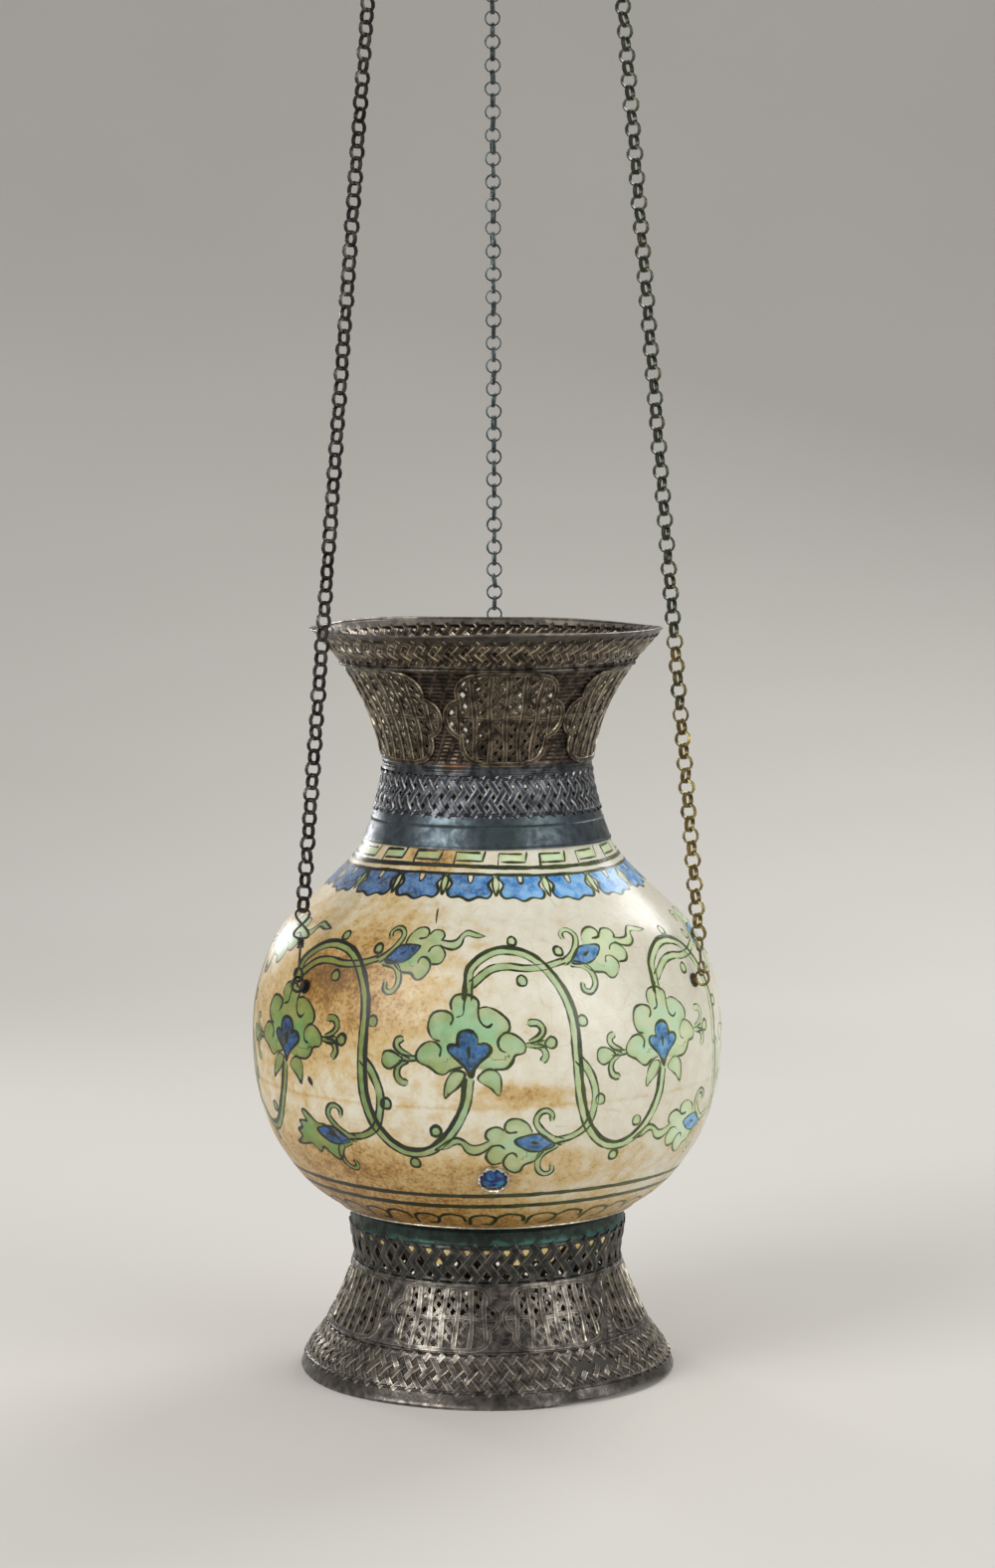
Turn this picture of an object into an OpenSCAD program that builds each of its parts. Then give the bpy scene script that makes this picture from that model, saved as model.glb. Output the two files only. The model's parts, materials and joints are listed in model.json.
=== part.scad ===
// Mosque lamp: a painted ceramic globe held between a pierced metal neck and foot,
// hung by three wire-link chains from a swivelling crown.
// Millimetres, +Z up. The origin is the centre of the hanging eye at the top.
// Heights named below are measured up from the plane of the foot's lower edge.

/* [Foot] */
// Radius of the foot's lower edge
foot_edge_r = 86; // [82:0.5:92]
// Outer radius at the top of the foot rim
foot_rim_top_r = 83.9; // [80:0.1:86]
// Outer radius at the top of the lower lattice
foot_lattice_r = 73.6; // [71:0.1:77]
// Outer radius half way up the foot's panel
foot_panel_mid_r = 66.4; // [65:0.1:69]
// Outer radius at the foot's waist
foot_waist_r = 61.4; // [60:0.1:64]
// Outer radius of the collar that holds the globe
foot_collar_r = 63.2; // [62:0.1:66]
// Height of the foot rim
foot_rim_h = 6.5; // [5:0.5:9]
// Height of the lower lattice band
foot_lower_lattice_h = 15; // [12:0.5:18]
// Height of the panel between the two wires
foot_panel_h = 27; // [22:0.5:32]
// Height of the upper lattice band
foot_upper_lattice_h = 17; // [14:0.5:20]
// Height of the foot collar
foot_collar_h = 6; // [4:0.5:9]

/* [Globe] */
// Outer radius at the equator
globe_r = 107.2; // [100:0.2:114]
// Height from the foot collar to the equator
globe_lower_h = 78.7; // [72:0.1:86]
// Height from the equator to the neck collar
globe_upper_h = 91.4; // [84:0.1:98]
// Outer radii at three heights of the lower half, from the collar up
globe_lower_r = [76.8, 94.6, 103.8];
// Those three heights, as shares of the lower half
globe_lower_at = [0.12, 0.376, 0.653];
// Outer radii at three heights of the upper half, from the equator up
globe_upper_r = [104.3, 93.2, 74.6];
// Those three heights, as shares of the upper half
globe_upper_at = [0.296, 0.56, 0.76];
// Outer radius of the band at the root of the neck
globe_root_r = 62; // [60:0.2:65]
// Height of the band at the root of the neck
globe_root_h = 9; // [7:0.5:11]
// Ceramic wall, measured across the axis
globe_wall = 6; // [4:0.5:9]
// Thickness of the ceramic floor
globe_floor_t = 7; // [5:0.5:10]
// Depth of the ceramic stub inside the foot collar
foot_stub_h = 9; // [7:0.5:12]

/* [Neck] */
// Outer radius at the bottom of the neck collar
neck_collar_r = 56.9; // [55:0.1:60]
// Outer radius at the top of the neck collar
neck_collar_top_r = 51.9; // [50.5:0.1:54]
// Outer radius at the waist
neck_waist_r = 48.2; // [46.5:0.1:50]
// Outer radius half way up the neck's panel
neck_panel_mid_r = 54; // [52:0.1:57]
// Outer radius at the top of the panel
neck_panel_top_r = 65.8; // [63:0.1:69]
// Outer radius at the top of the upper lattice
neck_lattice_r = 78.2; // [75:0.1:79]
// Outer radius of the mouth rim
mouth_r = 80; // [79.5:0.1:84]
// Height of the neck collar
neck_collar_h = 14; // [11:0.5:17]
// Height of the lower lattice band
neck_lower_lattice_h = 17.3; // [14:0.1:21]
// Height of the waist moulding
neck_waist_h = 5.2; // [4:0.1:7]
// Height of the panel above the waist
neck_panel_h = 42.5; // [36:0.5:48]
// Height of the double wire under the upper lattice
neck_wires_h = 3; // [2.4:0.2:4]
// Height of the upper lattice band
neck_upper_lattice_h = 11.5; // [9:0.5:14]
// Height of the mouth rim
mouth_rim_h = 2.5; // [2:0.1:4]

/* [Metalwork] */
// Sheet thickness, measured across the axis
sheet_t = 1.2; // [0.8:0.1:1.8]
// Height of each applied wire on the foot
wire_h = 1.2; // [0.8:0.1:2]
// Plaster bedding between ceramic and collar
bedding_t = 1.4; // [0.8:0.1:2]
// Gap left between fixed round faces
fixed_gap = 0.05; // [0.03:0.01:0.1]
// Openings around each lattice row
lattice_columns = 36; // [24:2:52]
// Metal left between neighbouring lattice openings
lattice_bar = 2.6; // [1.8:0.1:3.2]
// Plain strip along both edges of a lattice
lattice_margin = 1.6; // [1.2:0.1:2.2]
// Cartouches around the neck
neck_cartouches = 6; // [4:1:8]
// Cartouches around the foot
foot_cartouches = 8; // [6:1:10]
// Slots across each cartouche
cartouche_slots = 5; // [3:2:7]
// Width of each cartouche slot
slot_w = 2.6; // [1.8:0.1:3.2]
// Metal left between neighbouring slots
slot_bar = 2; // [1.6:0.1:3]
// Plain strip above and below a cartouche
cartouche_margin = 4; // [3:0.2:6]

/* [Suspension] */
// Bearings of the left, right and rear chains, from the front
chain_bearings = [-51, 63.5, 178];
// Height of the eye pegs on the globe
eye_peg_h = 184.5; // [176:0.5:196]
// Hole radius of the globe eyes
eye_hole_r = 2.6; // [2.4:0.1:3]
// Wire diameter of the globe eyes
eye_wire_d = 1.2; // [1:0.1:1.6]
// Radius of the pegs that pass through the globe
eye_peg_r = 1.6; // [1.2:0.1:2]
// Radius of the washers under the eyes
eye_washer_r = 3.2; // [2.8:0.1:4.4]
// Thickness of the washers and the clinch plates
eye_washer_t = 0.6; // [0.5:0.1:1]
// Height of the crown eyes
crown_eye_h = 650; // [600:5:700]
// Distance of the crown eyes from the axis
crown_eye_r = 64; // [58:0.5:70]
// Hole radius of the crown eyes
crown_eye_hole_r = 3; // [2.8:0.1:3.6]
// Wire diameter of the crown eyes
crown_eye_wire_d = 2; // [1.6:0.1:2.4]
// Outer diameter of a chain link
link_od = 7.6; // [7:0.1:9]
// Diameter of the wire wound into a link
link_wire_d = 0.72; // [0.6:0.02:0.9]
// Turns of wire in a link
link_turns = 3; // [2:1:4]
// Gap where one link bears on the next
link_gap = 0.3; // [0.2:0.02:0.4]
// Wire diameter of the hooks and top rings
hook_wire_d = 1.1; // [0.9:0.1:1.3]
// Loop radius of the hooks, to the middle of the wire
hook_loop_r = 3; // [2.8:0.1:3.4]
// Distance between the two loops of the left, right and rear hooks
hook_lengths = [26, 11, 11];
// Loop radius of the top rings, to the middle of the wire
top_ring_r = 4.4; // [4:0.1:5.4]
// Rise of a hook's wire above the middle of the globe eye
hook_rise = 1.2; // [1:0.05:1.3]
// Gap where a top ring hangs in the crown eye
ring_seat_gap = 0.3; // [0.2:0.05:0.5]

/* [Crown] */
// Width of the flat rim outside the crown eyes
crown_rim_w = 6; // [4:0.5:8]
// Rise of the dome from rim to centre
crown_rise = 14; // [10:1:20]
// Thickness of the crown's sheet
crown_t = 1.6; // [1.2:0.1:2.4]
// Radius of the crown's flat top
crown_top_r = 19; // [17:0.5:24]
// Neck radius of the hub
hub_r = 8; // [7:0.5:9]
// Flange radius of the hub
hub_flange_r = 14; // [12:0.5:16]
// Flange thickness of the hub
hub_flange_t = 3; // [2:0.5:5]
// Thickness of the crown and swivel washers
washer_t = 1.5; // [1:0.1:2.5]
// Stem length of the crown eyes below the rim
crown_stem_l = 1; // [0.5:0.5:3]
// Stem radius of the crown eyes
crown_stem_r = 1.5; // [1.2:0.1:1.8]

/* [Hanger] */
// Bore radius of the hanging eye
hang_bore_r = 8; // [6:0.5:10]
// Metal around the hanging eye
hang_eye_w = 6; // [5:0.5:8]
// Thickness of the hanger link
hanger_t = 6; // [5:0.5:8]
// Distance from the hanging eye to the hanger pin
hanger_l = 26; // [25:0.5:34]
// Radius of the hanger pin
pin_r = 3; // [2.5:0.1:3.5]
// Radius of the swivel shank
shank_r = 3; // [2.5:0.1:3.5]
// Running clearance on the pin and the shank
run_gap = 0.05; // [0.02:0.01:0.09]
// Side clearance of the hanger link in its fork
side_gap = 0.3; // [0.2:0.05:0.6]
// Thickness of each fork ear
fork_ear_t = 4; // [3:0.5:6]
// Metal around the pin
pin_eye_w = 4.5; // [4:0.5:6]
// Thickness of the fork's base
fork_base_t = 4; // [3:0.5:6]

/* [Oil cup] */
// Outer radius of the cup below its flange
cup_r = 32; // [28:0.5:36]
// Outer radius of the cup's foot
cup_foot_r = 14; // [11:0.5:18]
// Depth of the cup below its flange
cup_h = 104; // [80:1:120]
// Glass wall
cup_wall = 3; // [2:0.5:4]
// Reach of the flange beyond the cup
cup_flange_w = 5; // [4:0.5:6]
// Thickness of the flange
cup_flange_t = 2.5; // [2:0.5:4]
// Gap between the cup and its cradle
cup_gap = 0.8; // [0.5:0.1:1.5]
// Thickness of the cradle ring
cradle_t = 1.5; // [1:0.1:2.5]
// Depth of the cradle's rim inside the ceramic
cradle_rim_h = 8; // [5:1:12]
// Gap between the cradle's rim and the ceramic
cradle_gap = 0.5; // [0.3:0.1:1]
// Wick radius
wick_r = 2.4; // [1.8:0.1:3]
// Gap between wick and tube
wick_gap = 0.2; // [0.1:0.05:0.4]
// Wall of the wick tube
wick_tube_t = 1.2; // [0.8:0.1:2]
// Length of the wick tube below the arms
wick_tube_drop = 46; // [30:1:60]
// Length of wick below the tube
wick_tail = 18; // [5:1:22]
// Length of wick above the tube
wick_tip = 8; // [4:1:14]
// Width of each wick holder arm
wick_arm_w = 3; // [2:0.5:5]
// Thickness of each wick holder arm
wick_arm_t = 1.2; // [0.8:0.1:2]

/* [Blue stud] */
// Height of the stud on the globe
stud_h = 105.8; // [98:0.2:114]
// Bearing of the stud from the front
stud_bearing = 1.8; // [-10:0.2:10]
// Radius of the stud's head
stud_r = 5.9; // [5:0.1:6.8]
// Height of the stud's head
stud_head_h = 2.2; // [1.4:0.1:3]
// Radius of the stud's shank
stud_shank_r = 2.6; // [2:0.1:3.2]
// Width of the setting around the stud
stud_setting_w = 1.4; // [1:0.1:2]

/* [Hidden] */

$fn = 96;
tiny = 0.01;

// Heights where one band of the foot ends and the next begins
z_foot_rim = foot_rim_h;
z_foot_lower_lattice = z_foot_rim + foot_lower_lattice_h;
z_foot_lower_wire = z_foot_lower_lattice + wire_h;
z_foot_panel = z_foot_lower_wire + foot_panel_h;
z_foot_upper_wire = z_foot_panel + wire_h;
z_foot_upper_lattice = z_foot_upper_wire + foot_upper_lattice_h;
z_foot_collar = z_foot_upper_lattice + foot_collar_h;

// Heights on the globe
z_equator = z_foot_collar + globe_lower_h;
z_neck_base = z_equator + globe_upper_h;
z_stub_bottom = z_foot_collar - foot_stub_h;
z_floor = z_stub_bottom + globe_floor_t;

// Heights where one band of the neck ends and the next begins
z_neck_collar = z_neck_base + neck_collar_h;
z_neck_lower_lattice = z_neck_collar + neck_lower_lattice_h;
z_neck_waist = z_neck_lower_lattice + neck_waist_h;
z_neck_panel = z_neck_waist + neck_panel_h;
z_neck_wires = z_neck_panel + neck_wires_h;
z_neck_upper_lattice = z_neck_wires + neck_upper_lattice_h;
z_mouth = z_neck_upper_lattice + mouth_rim_h;

// Outer outlines as [height, radius] stations, joined by smooth curves
foot_line = [
    [0, foot_edge_r],
    [z_foot_rim, foot_rim_top_r],
    [z_foot_lower_lattice, foot_lattice_r],
    [z_foot_lower_wire + foot_panel_h / 2, foot_panel_mid_r],
    [z_foot_panel + wire_h / 2, foot_waist_r],
    [z_foot_upper_lattice, foot_collar_r],
    [z_foot_collar, foot_collar_r]];
neck_line = [
    [z_neck_base, neck_collar_r],
    [z_neck_collar, neck_collar_top_r],
    [z_neck_lower_lattice, neck_waist_r],
    [z_neck_waist, neck_waist_r],
    [z_neck_waist + neck_panel_h / 2, neck_panel_mid_r],
    [z_neck_panel, neck_panel_top_r],
    [z_neck_upper_lattice, neck_lattice_r],
    [z_mouth, mouth_r]];

// The ceramic follows its own outline between the two collars and steps in behind them
foot_stub_r = foot_collar_r - sheet_t - bedding_t - 2 * fixed_gap;
neck_stub_r = neck_collar_top_r - sheet_t - bedding_t - 2 * fixed_gap;
neck_seat_r = neck_collar_r - sheet_t - fixed_gap;
z_root = z_neck_base - globe_root_h;
collar_steps = 4;
globe_line = concat(
    [[z_foot_collar, foot_stub_r + bedding_t]],
    [for (i = [0:2]) [z_foot_collar + globe_lower_h * globe_lower_at[i], globe_lower_r[i]]],
    [[z_equator, globe_r]],
    [for (i = [0:2]) [z_equator + globe_upper_h * globe_upper_at[i], globe_upper_r[i]]],
    [[z_root, globe_root_r], [z_neck_base, neck_seat_r]]);

// Cubic curve through a list of [height, radius] stations
function step_slope(line, i) = (line[i + 1][1] - line[i][1]) / (line[i + 1][0] - line[i][0]);
function step_h(line, i) = line[i + 1][0] - line[i][0];
function station_slope(line, i) =
    i == 0 ? step_slope(line, 0) :
    i == len(line) - 1 ? step_slope(line, i - 1) :
    (step_slope(line, i - 1) * step_h(line, i) + step_slope(line, i) * step_h(line, i - 1))
        / (step_h(line, i - 1) + step_h(line, i));
function stretch_of(line, z) = max(concat([0], [for (i = [0:len(line) - 2]) if (z >= line[i][0]) i]));
function curve_r(line, z) =
    let (i = stretch_of(line, z), h = step_h(line, i), t = (z - line[i][0]) / h)
    (2 * pow(t, 3) - 3 * pow(t, 2) + 1) * line[i][1]
    + (pow(t, 3) - 2 * pow(t, 2) + t) * h * station_slope(line, i)
    + (3 * pow(t, 2) - 2 * pow(t, 3)) * line[i + 1][1]
    + (pow(t, 3) - pow(t, 2)) * h * station_slope(line, i + 1);
function curve_points(line, z0, z1, steps, inset) =
    [for (i = [0:steps]) let (z = z0 + (z1 - z0) * i / steps) [curve_r(line, z) - inset, z]];
function turned_back(points) = [for (i = [len(points) - 1:-1:0]) points[i]];
// Upward tilt of the surface normal at a height on the globe
function globe_tilt(z) = atan((curve_r(globe_line, z - 1) - curve_r(globe_line, z + 1)) / 2);

// Eyes: the ring stands off the globe along the surface normal
eye_outer_r = eye_hole_r + eye_wire_d;
eye_tilt = globe_tilt(eye_peg_h);
eye_surface_r = curve_r(globe_line, eye_peg_h);
eye_standoff = eye_washer_t + eye_outer_r;
eye_r = eye_surface_r + eye_standoff * cos(eye_tilt);
eye_h = eye_peg_h + eye_standoff * sin(eye_tilt);
eye_wall = globe_wall * cos(eye_tilt);
// A flat plate on a curved wall touches it at its edge
eye_plate_lift = pow(eye_washer_r, 2) / globe_r;

// Chain line, from the middle of a crown eye down to the middle of a globe eye
chain_run = eye_r - crown_eye_r;
chain_drop = crown_eye_h - eye_h;
chain_l = sqrt(pow(chain_run, 2) + pow(chain_drop, 2));
chain_tilt = -atan2(chain_run, chain_drop);
hook_wire_r = hook_wire_d / 2;
link_r = link_od / 2 - link_wire_d;
link_w = link_turns * link_wire_d;
// Distance between two rings that hang in each other: hole radius and wire width of both
function hang_step(r1, w1, r2, w2) =
    sqrt(pow(r1, 2) - pow(w2 / 2, 2)) + sqrt(pow(r2, 2) - pow(w1 / 2, 2)) - link_gap;
link_pitch_max = hang_step(link_r, link_w, link_r, link_w);
ring_s = crown_eye_hole_r - hook_wire_r - ring_seat_gap + top_ring_r;
first_link_s = ring_s + hang_step(top_ring_r - hook_wire_r, hook_wire_d, link_r, link_w);
hook_low_s = chain_l - hook_rise - hook_loop_r;
function hook_top_s(k) = hook_low_s - hook_lengths[k];
function last_link_s(k) = hook_top_s(k) - hang_step(hook_loop_r - hook_wire_r, hook_wire_d, link_r, link_w);
function link_steps(k) = ceil((last_link_s(k) - first_link_s) / link_pitch_max);
function link_pitch(k) = (last_link_s(k) - first_link_s) / link_steps(k);

// Crown and hanger heights, stacked up from the crown eyes
crown_eye_outer_r = crown_eye_hole_r + crown_eye_wire_d;
crown_rim_r = crown_eye_r + crown_rim_w;
z_crown_rim = crown_eye_h + crown_eye_outer_r + crown_stem_l;
z_crown_top = z_crown_rim + crown_rise;
z_hub_bottom = z_crown_top - hub_flange_t;
z_hub_shoulder = z_crown_top + crown_t + washer_t;
hub_peen_t = washer_t;
hub_peen_r = hub_r + 2;
z_hub_top = z_hub_shoulder + hub_peen_t;
z_swivel_washer = z_hub_bottom - washer_t;
shank_head_t = 1.8;
shank_head_r = 2 * shank_r;
z_fork_base = z_hub_top + side_gap;
pin_eye_r = pin_r + pin_eye_w;
z_pin = z_fork_base + fork_base_t + pin_eye_r + 1;
z_hang = z_pin + hanger_l;
fork_gap = hanger_t + 2 * side_gap;
fork_w = fork_gap + 2 * fork_ear_t;
pin_head_t = 1.6;
pin_head_r = pin_r + 1.5;
rivet_t = 1;

// Oil cup, seated on the cradle that lies on the ceramic's upper edge
cradle_hole_r = cup_r + cup_gap;
cradle_seat_r = neck_stub_r - 0.5;
neck_bore_r = neck_stub_r - globe_wall;
z_cradle = z_neck_collar + cradle_t;
z_cup_top = z_cradle + cup_flange_t;
z_cup_bottom = z_cradle - cup_h;
wick_bore_r = wick_r + wick_gap;
wick_tube_r = wick_bore_r + wick_tube_t;
z_wick_arms = z_cup_top + wick_arm_t;
wick_tube_rise = 4;
wick_arms = 3;

// Blue stud, square to the globe's surface
stud_tilt = globe_tilt(stud_h);
stud_wall = globe_wall * cos(stud_tilt);
stud_lift = pow(stud_r + stud_setting_w, 2) / globe_r;
stud_setting_t = 1.1;

aged_silver = "#5a5450";
worn_silver = "#8d8983";
verdigris = "#3f5c55";
glazed_cream = "#e3d6bd";
old_brass = "#8a7a45";
dark_iron = "#3d3b39";

module from_foot() {
    translate([0, 0, -z_hang]) children();
}

module at_bearing(bearing) {
    from_foot() rotate([0, 0, bearing - 90]) children();
}

// X runs straight out of the globe's surface
module on_globe(bearing, z) {
    at_bearing(bearing) translate([curve_r(globe_line, z), 0, z]) rotate([0, -globe_tilt(z), 0]) children();
}

// -Z runs down the chain, Y runs around the lamp
module on_chain(k, s) {
    at_bearing(chain_bearings[k])
        translate([crown_eye_r, 0, crown_eye_h])
            rotate([0, chain_tilt, 0])
                translate([0, 0, -s]) children();
}

module shell(line, z0, z1, steps, wall) {
    outside = curve_points(line, z0, z1, steps, 0);
    inside = curve_points(line, z0, z1, steps, wall);
    from_foot() rotate_extrude() polygon(concat(outside, turned_back(inside)));
}

module ring_band(r_in, r_out, z0, z1) {
    from_foot() rotate_extrude() translate([r_in, z0]) square([r_out - r_in, z1 - z0]);
}

module tube(r_in, r_out, h) {
    rotate_extrude() translate([r_in, 0]) square([r_out - r_in, h]);
}

module wire_ring(loop_r, wire_d) {
    rotate_extrude() translate([loop_r, 0]) circle(d = wire_d, $fn = 32);
}

// A strip of sheet that carries half-round wires, each centred at one of the given heights
module wire_band(line, z0, z1, wire_heights, wire_d) {
    r = curve_r(line, (z0 + z1) / 2);
    from_foot()
        rotate_extrude()
            union() {
                translate([r - sheet_t, z0]) square([sheet_t, z1 - z0]);
                for (z = wire_heights)
                    intersection() {
                        translate([r, z]) circle(d = wire_d, $fn = 32);
                        translate([r - tiny, z - wire_d]) square(2 * wire_d);
                    }
            }
}

// Two staggered rows of lozenges cut through a band
module lattice_cuts(line, z0, z1) {
    r = curve_r(line, (z0 + z1) / 2);
    pitch = 2 * PI * r / lattice_columns;
    open_w = pitch - lattice_bar;
    row_h = (z1 - z0 - 2 * lattice_margin) / 2;
    open_h = row_h - lattice_bar / 3;
    for (row = [0:1], column = [0:lattice_columns - 1])
        from_foot()
            rotate([0, 0, (column + row / 2) * 360 / lattice_columns])
                translate([r - 12, 0, z0 + lattice_margin + (row + 0.5) * row_h])
                    rotate([90, 0, 90])
                        linear_extrude(height = 24)
                            polygon([[open_w / 2, 0], [0, open_h / 2], [-open_w / 2, 0], [0, -open_h / 2]]);
}

module lattice_band(line, z0, z1, steps) {
    difference() {
        shell(line, z0, z1, steps, sheet_t);
        lattice_cuts(line, z0, z1);
    }
}

// Upright slots whose lengths draw a lobed cartouche, parted by one level bar
module cartouche_cuts(line, z0, z1, count) {
    r = curve_r(line, (z0 + z1) / 2);
    half_h = (z1 - z0) / 2 - cartouche_margin;
    middle = (cartouche_slots - 1) / 2;
    for (panel = [0:count - 1], slot = [-middle:middle], side = [0, 1]) {
        reach = half_h * (1 - 0.4 * pow(slot / (middle + 0.5), 2));
        turn = (panel + 0.5) * 360 / count + slot * (slot_w + slot_bar) / r * 180 / PI;
        from_foot()
            rotate([0, 0, turn])
                translate([r - 16, 0, (z0 + z1) / 2])
                    mirror([0, 0, side])
                        rotate([90, 0, 90])
                            linear_extrude(height = 32)
                                translate([-slot_w / 2, slot_bar / 2])
                                    square([slot_w, reach - slot_bar / 2]);
    }
}

module cartouche_band(line, z0, z1, steps, count) {
    difference() {
        shell(line, z0, z1, steps, sheet_t);
        cartouche_cuts(line, z0, z1, count);
    }
}

// One link: turns of wire lying side by side, grooved where two turns meet
module chain_link() {
    half = link_wire_d / 2;
    rotate_extrude()
        translate([0, -link_w / 2])
            polygon(concat(
                [[link_r + half, 0]],
                [for (i = [0:link_turns - 1]) each [
                    [link_r + link_wire_d, (i + 0.3) * link_wire_d],
                    [link_r + link_wire_d, (i + 0.7) * link_wire_d],
                    [link_r + half, (i + 1) * link_wire_d]]],
                [[link_r, link_w - half], [link_r, half]]));
}

// Every second link, starting from the first or from the second
module chain_links(k, start) {
    for (i = [start:2:link_steps(k)])
        on_chain(k, first_link_s + i * link_pitch(k))
            rotate([0, 0, 90 * start])
                rotate([90, 0, 0]) chain_link();
}

module top_ring(k) {
    on_chain(k, ring_s) rotate([0, 90, 0]) wire_ring(top_ring_r, hook_wire_d);
}

// The lower loop hangs in the globe eye, the upper one crosses the last link
module hook(k) {
    on_chain(k, hook_low_s) rotate([0, 90, 0]) wire_ring(hook_loop_r, hook_wire_d);
    on_chain(k, hook_top_s(k))
        rotate([0, 0, 90 * ((link_steps(k) + 1) % 2)])
            rotate([90, 0, 0]) wire_ring(hook_loop_r, hook_wire_d);
    on_chain(k, hook_low_s - hook_loop_r)
        cylinder(h = hook_lengths[k] - 2 * hook_loop_r, r = hook_wire_r, $fn = 32);
}

module globe_eye(k) {
    back = eye_wall + eye_plate_lift + eye_washer_t + rivet_t;
    on_globe(chain_bearings[k], eye_peg_h)
        union() {
            translate([eye_standoff, 0, 0])
                rotate([90, 0, 0]) wire_ring(eye_hole_r + eye_wire_d / 2, eye_wire_d);
            translate([-back, 0, 0])
                rotate([0, 90, 0]) {
                    cylinder(h = back + eye_washer_t + eye_wire_d / 2, r = eye_peg_r);
                    cylinder(h = rivet_t, r = eye_peg_r + 1);
                }
        }
}

module crown_eye(k) {
    loop_r = crown_eye_hole_r + crown_eye_wire_d / 2;
    collar_t = crown_stem_l / 2;
    at_bearing(chain_bearings[k])
        translate([crown_eye_r, 0, 0])
            union() {
                translate([0, 0, crown_eye_h]) rotate([90, 0, 0]) wire_ring(loop_r, crown_eye_wire_d);
                translate([0, 0, crown_eye_h + loop_r])
                    cylinder(h = crown_eye_wire_d / 2 + crown_stem_l + crown_t + rivet_t, r = crown_stem_r);
                translate([0, 0, z_crown_rim + crown_t]) cylinder(h = rivet_t, r = 2 * crown_stem_r);
                translate([0, 0, z_crown_rim - collar_t]) cylinder(h = collar_t, r = 2 * crown_stem_r);
            }
}

// Hanger and swivel

// A cylinder along Y, centred
module cross_cylinder(h, r) {
    rotate([90, 0, 0]) cylinder(h = h, r = r, center = true);
}

module hanger_link() {
    bar_w = 1.6 * pin_eye_r;
    color(dark_iron)
        difference() {
            union() {
                cross_cylinder(hanger_t, hang_bore_r + hang_eye_w);
                translate([0, 0, -hanger_l]) cross_cylinder(hanger_t, pin_eye_r);
                translate([-bar_w / 2, -hanger_t / 2, -hanger_l]) cube([bar_w, hanger_t, hanger_l]);
            }
            cross_cylinder(2 * hanger_t, hang_bore_r);
            translate([0, 0, -hanger_l]) cross_cylinder(2 * hanger_t, pin_r + run_gap);
        }
}

module fork_ear() {
    translate([-pin_eye_r, -fork_ear_t / 2, z_fork_base])
        cube([2 * pin_eye_r, fork_ear_t, z_pin - z_fork_base]);
    translate([0, 0, z_pin]) cross_cylinder(fork_ear_t, pin_eye_r);
}

module swivel_fork() {
    shank_l = z_fork_base - z_swivel_washer + 2 * tiny;
    color(dark_iron)
        from_foot()
            difference() {
                union() {
                    translate([0, 0, z_swivel_washer - shank_head_t])
                        cylinder(h = shank_head_t, r = shank_head_r);
                    translate([0, 0, z_swivel_washer - tiny]) cylinder(h = shank_l, r = shank_r);
                    translate([-pin_eye_r, -fork_w / 2, z_fork_base])
                        cube([2 * pin_eye_r, fork_w, fork_base_t]);
                    for (side = [-1, 1])
                        translate([0, side * (fork_gap + fork_ear_t) / 2, 0]) fork_ear();
                }
                translate([0, 0, z_pin]) cross_cylinder(2 * fork_w, pin_r + fixed_gap);
            }
}

module hanger_pin() {
    color(worn_silver)
        from_foot()
            translate([0, 0, z_pin])
                rotate([90, 0, 0])
                    union() {
                        cylinder(h = fork_w, r = pin_r, center = true);
                        for (side = [-1, 1])
                            translate([0, 0, side * (fork_w + pin_head_t) / 2])
                                cylinder(h = pin_head_t, r = pin_head_r, center = true);
                    }
}

module swivel_washer() {
    color(worn_silver) ring_band(shank_r + fixed_gap, hub_r, z_swivel_washer, z_hub_bottom);
}

// Crown

module crown_dome() {
    slope_r = crown_eye_r - crown_rim_w;
    color(old_brass)
        difference() {
            from_foot()
                rotate_extrude()
                    polygon([
                        [hub_r + fixed_gap, z_crown_top], [crown_top_r, z_crown_top],
                        [slope_r, z_crown_rim], [crown_rim_r, z_crown_rim],
                        [crown_rim_r, z_crown_rim + crown_t], [slope_r + crown_t / 2, z_crown_rim + crown_t],
                        [crown_top_r + crown_t / 2, z_crown_top + crown_t],
                        [hub_r + fixed_gap, z_crown_top + crown_t]]);
            for (bearing = chain_bearings)
                at_bearing(bearing)
                    translate([crown_eye_r, 0, z_crown_rim - crown_t])
                        cylinder(h = 3 * crown_t, r = crown_stem_r + fixed_gap);
        }
}

module crown_hub() {
    bore_r = shank_r + run_gap;
    color(old_brass)
        from_foot()
            rotate_extrude()
                polygon([
                    [bore_r, z_hub_bottom], [hub_flange_r, z_hub_bottom], [hub_flange_r, z_crown_top],
                    [hub_r, z_crown_top], [hub_r, z_hub_shoulder], [hub_peen_r, z_hub_shoulder],
                    [hub_peen_r, z_hub_top], [bore_r, z_hub_top]]);
}

module crown_washer() {
    color(worn_silver) ring_band(hub_r + fixed_gap, hub_flange_r, z_crown_top + crown_t, z_hub_shoulder);
}

module left_crown_eye() { color(old_brass) crown_eye(0); }
module right_crown_eye() { color(old_brass) crown_eye(1); }
module rear_crown_eye() { color(old_brass) crown_eye(2); }

// Chains

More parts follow.
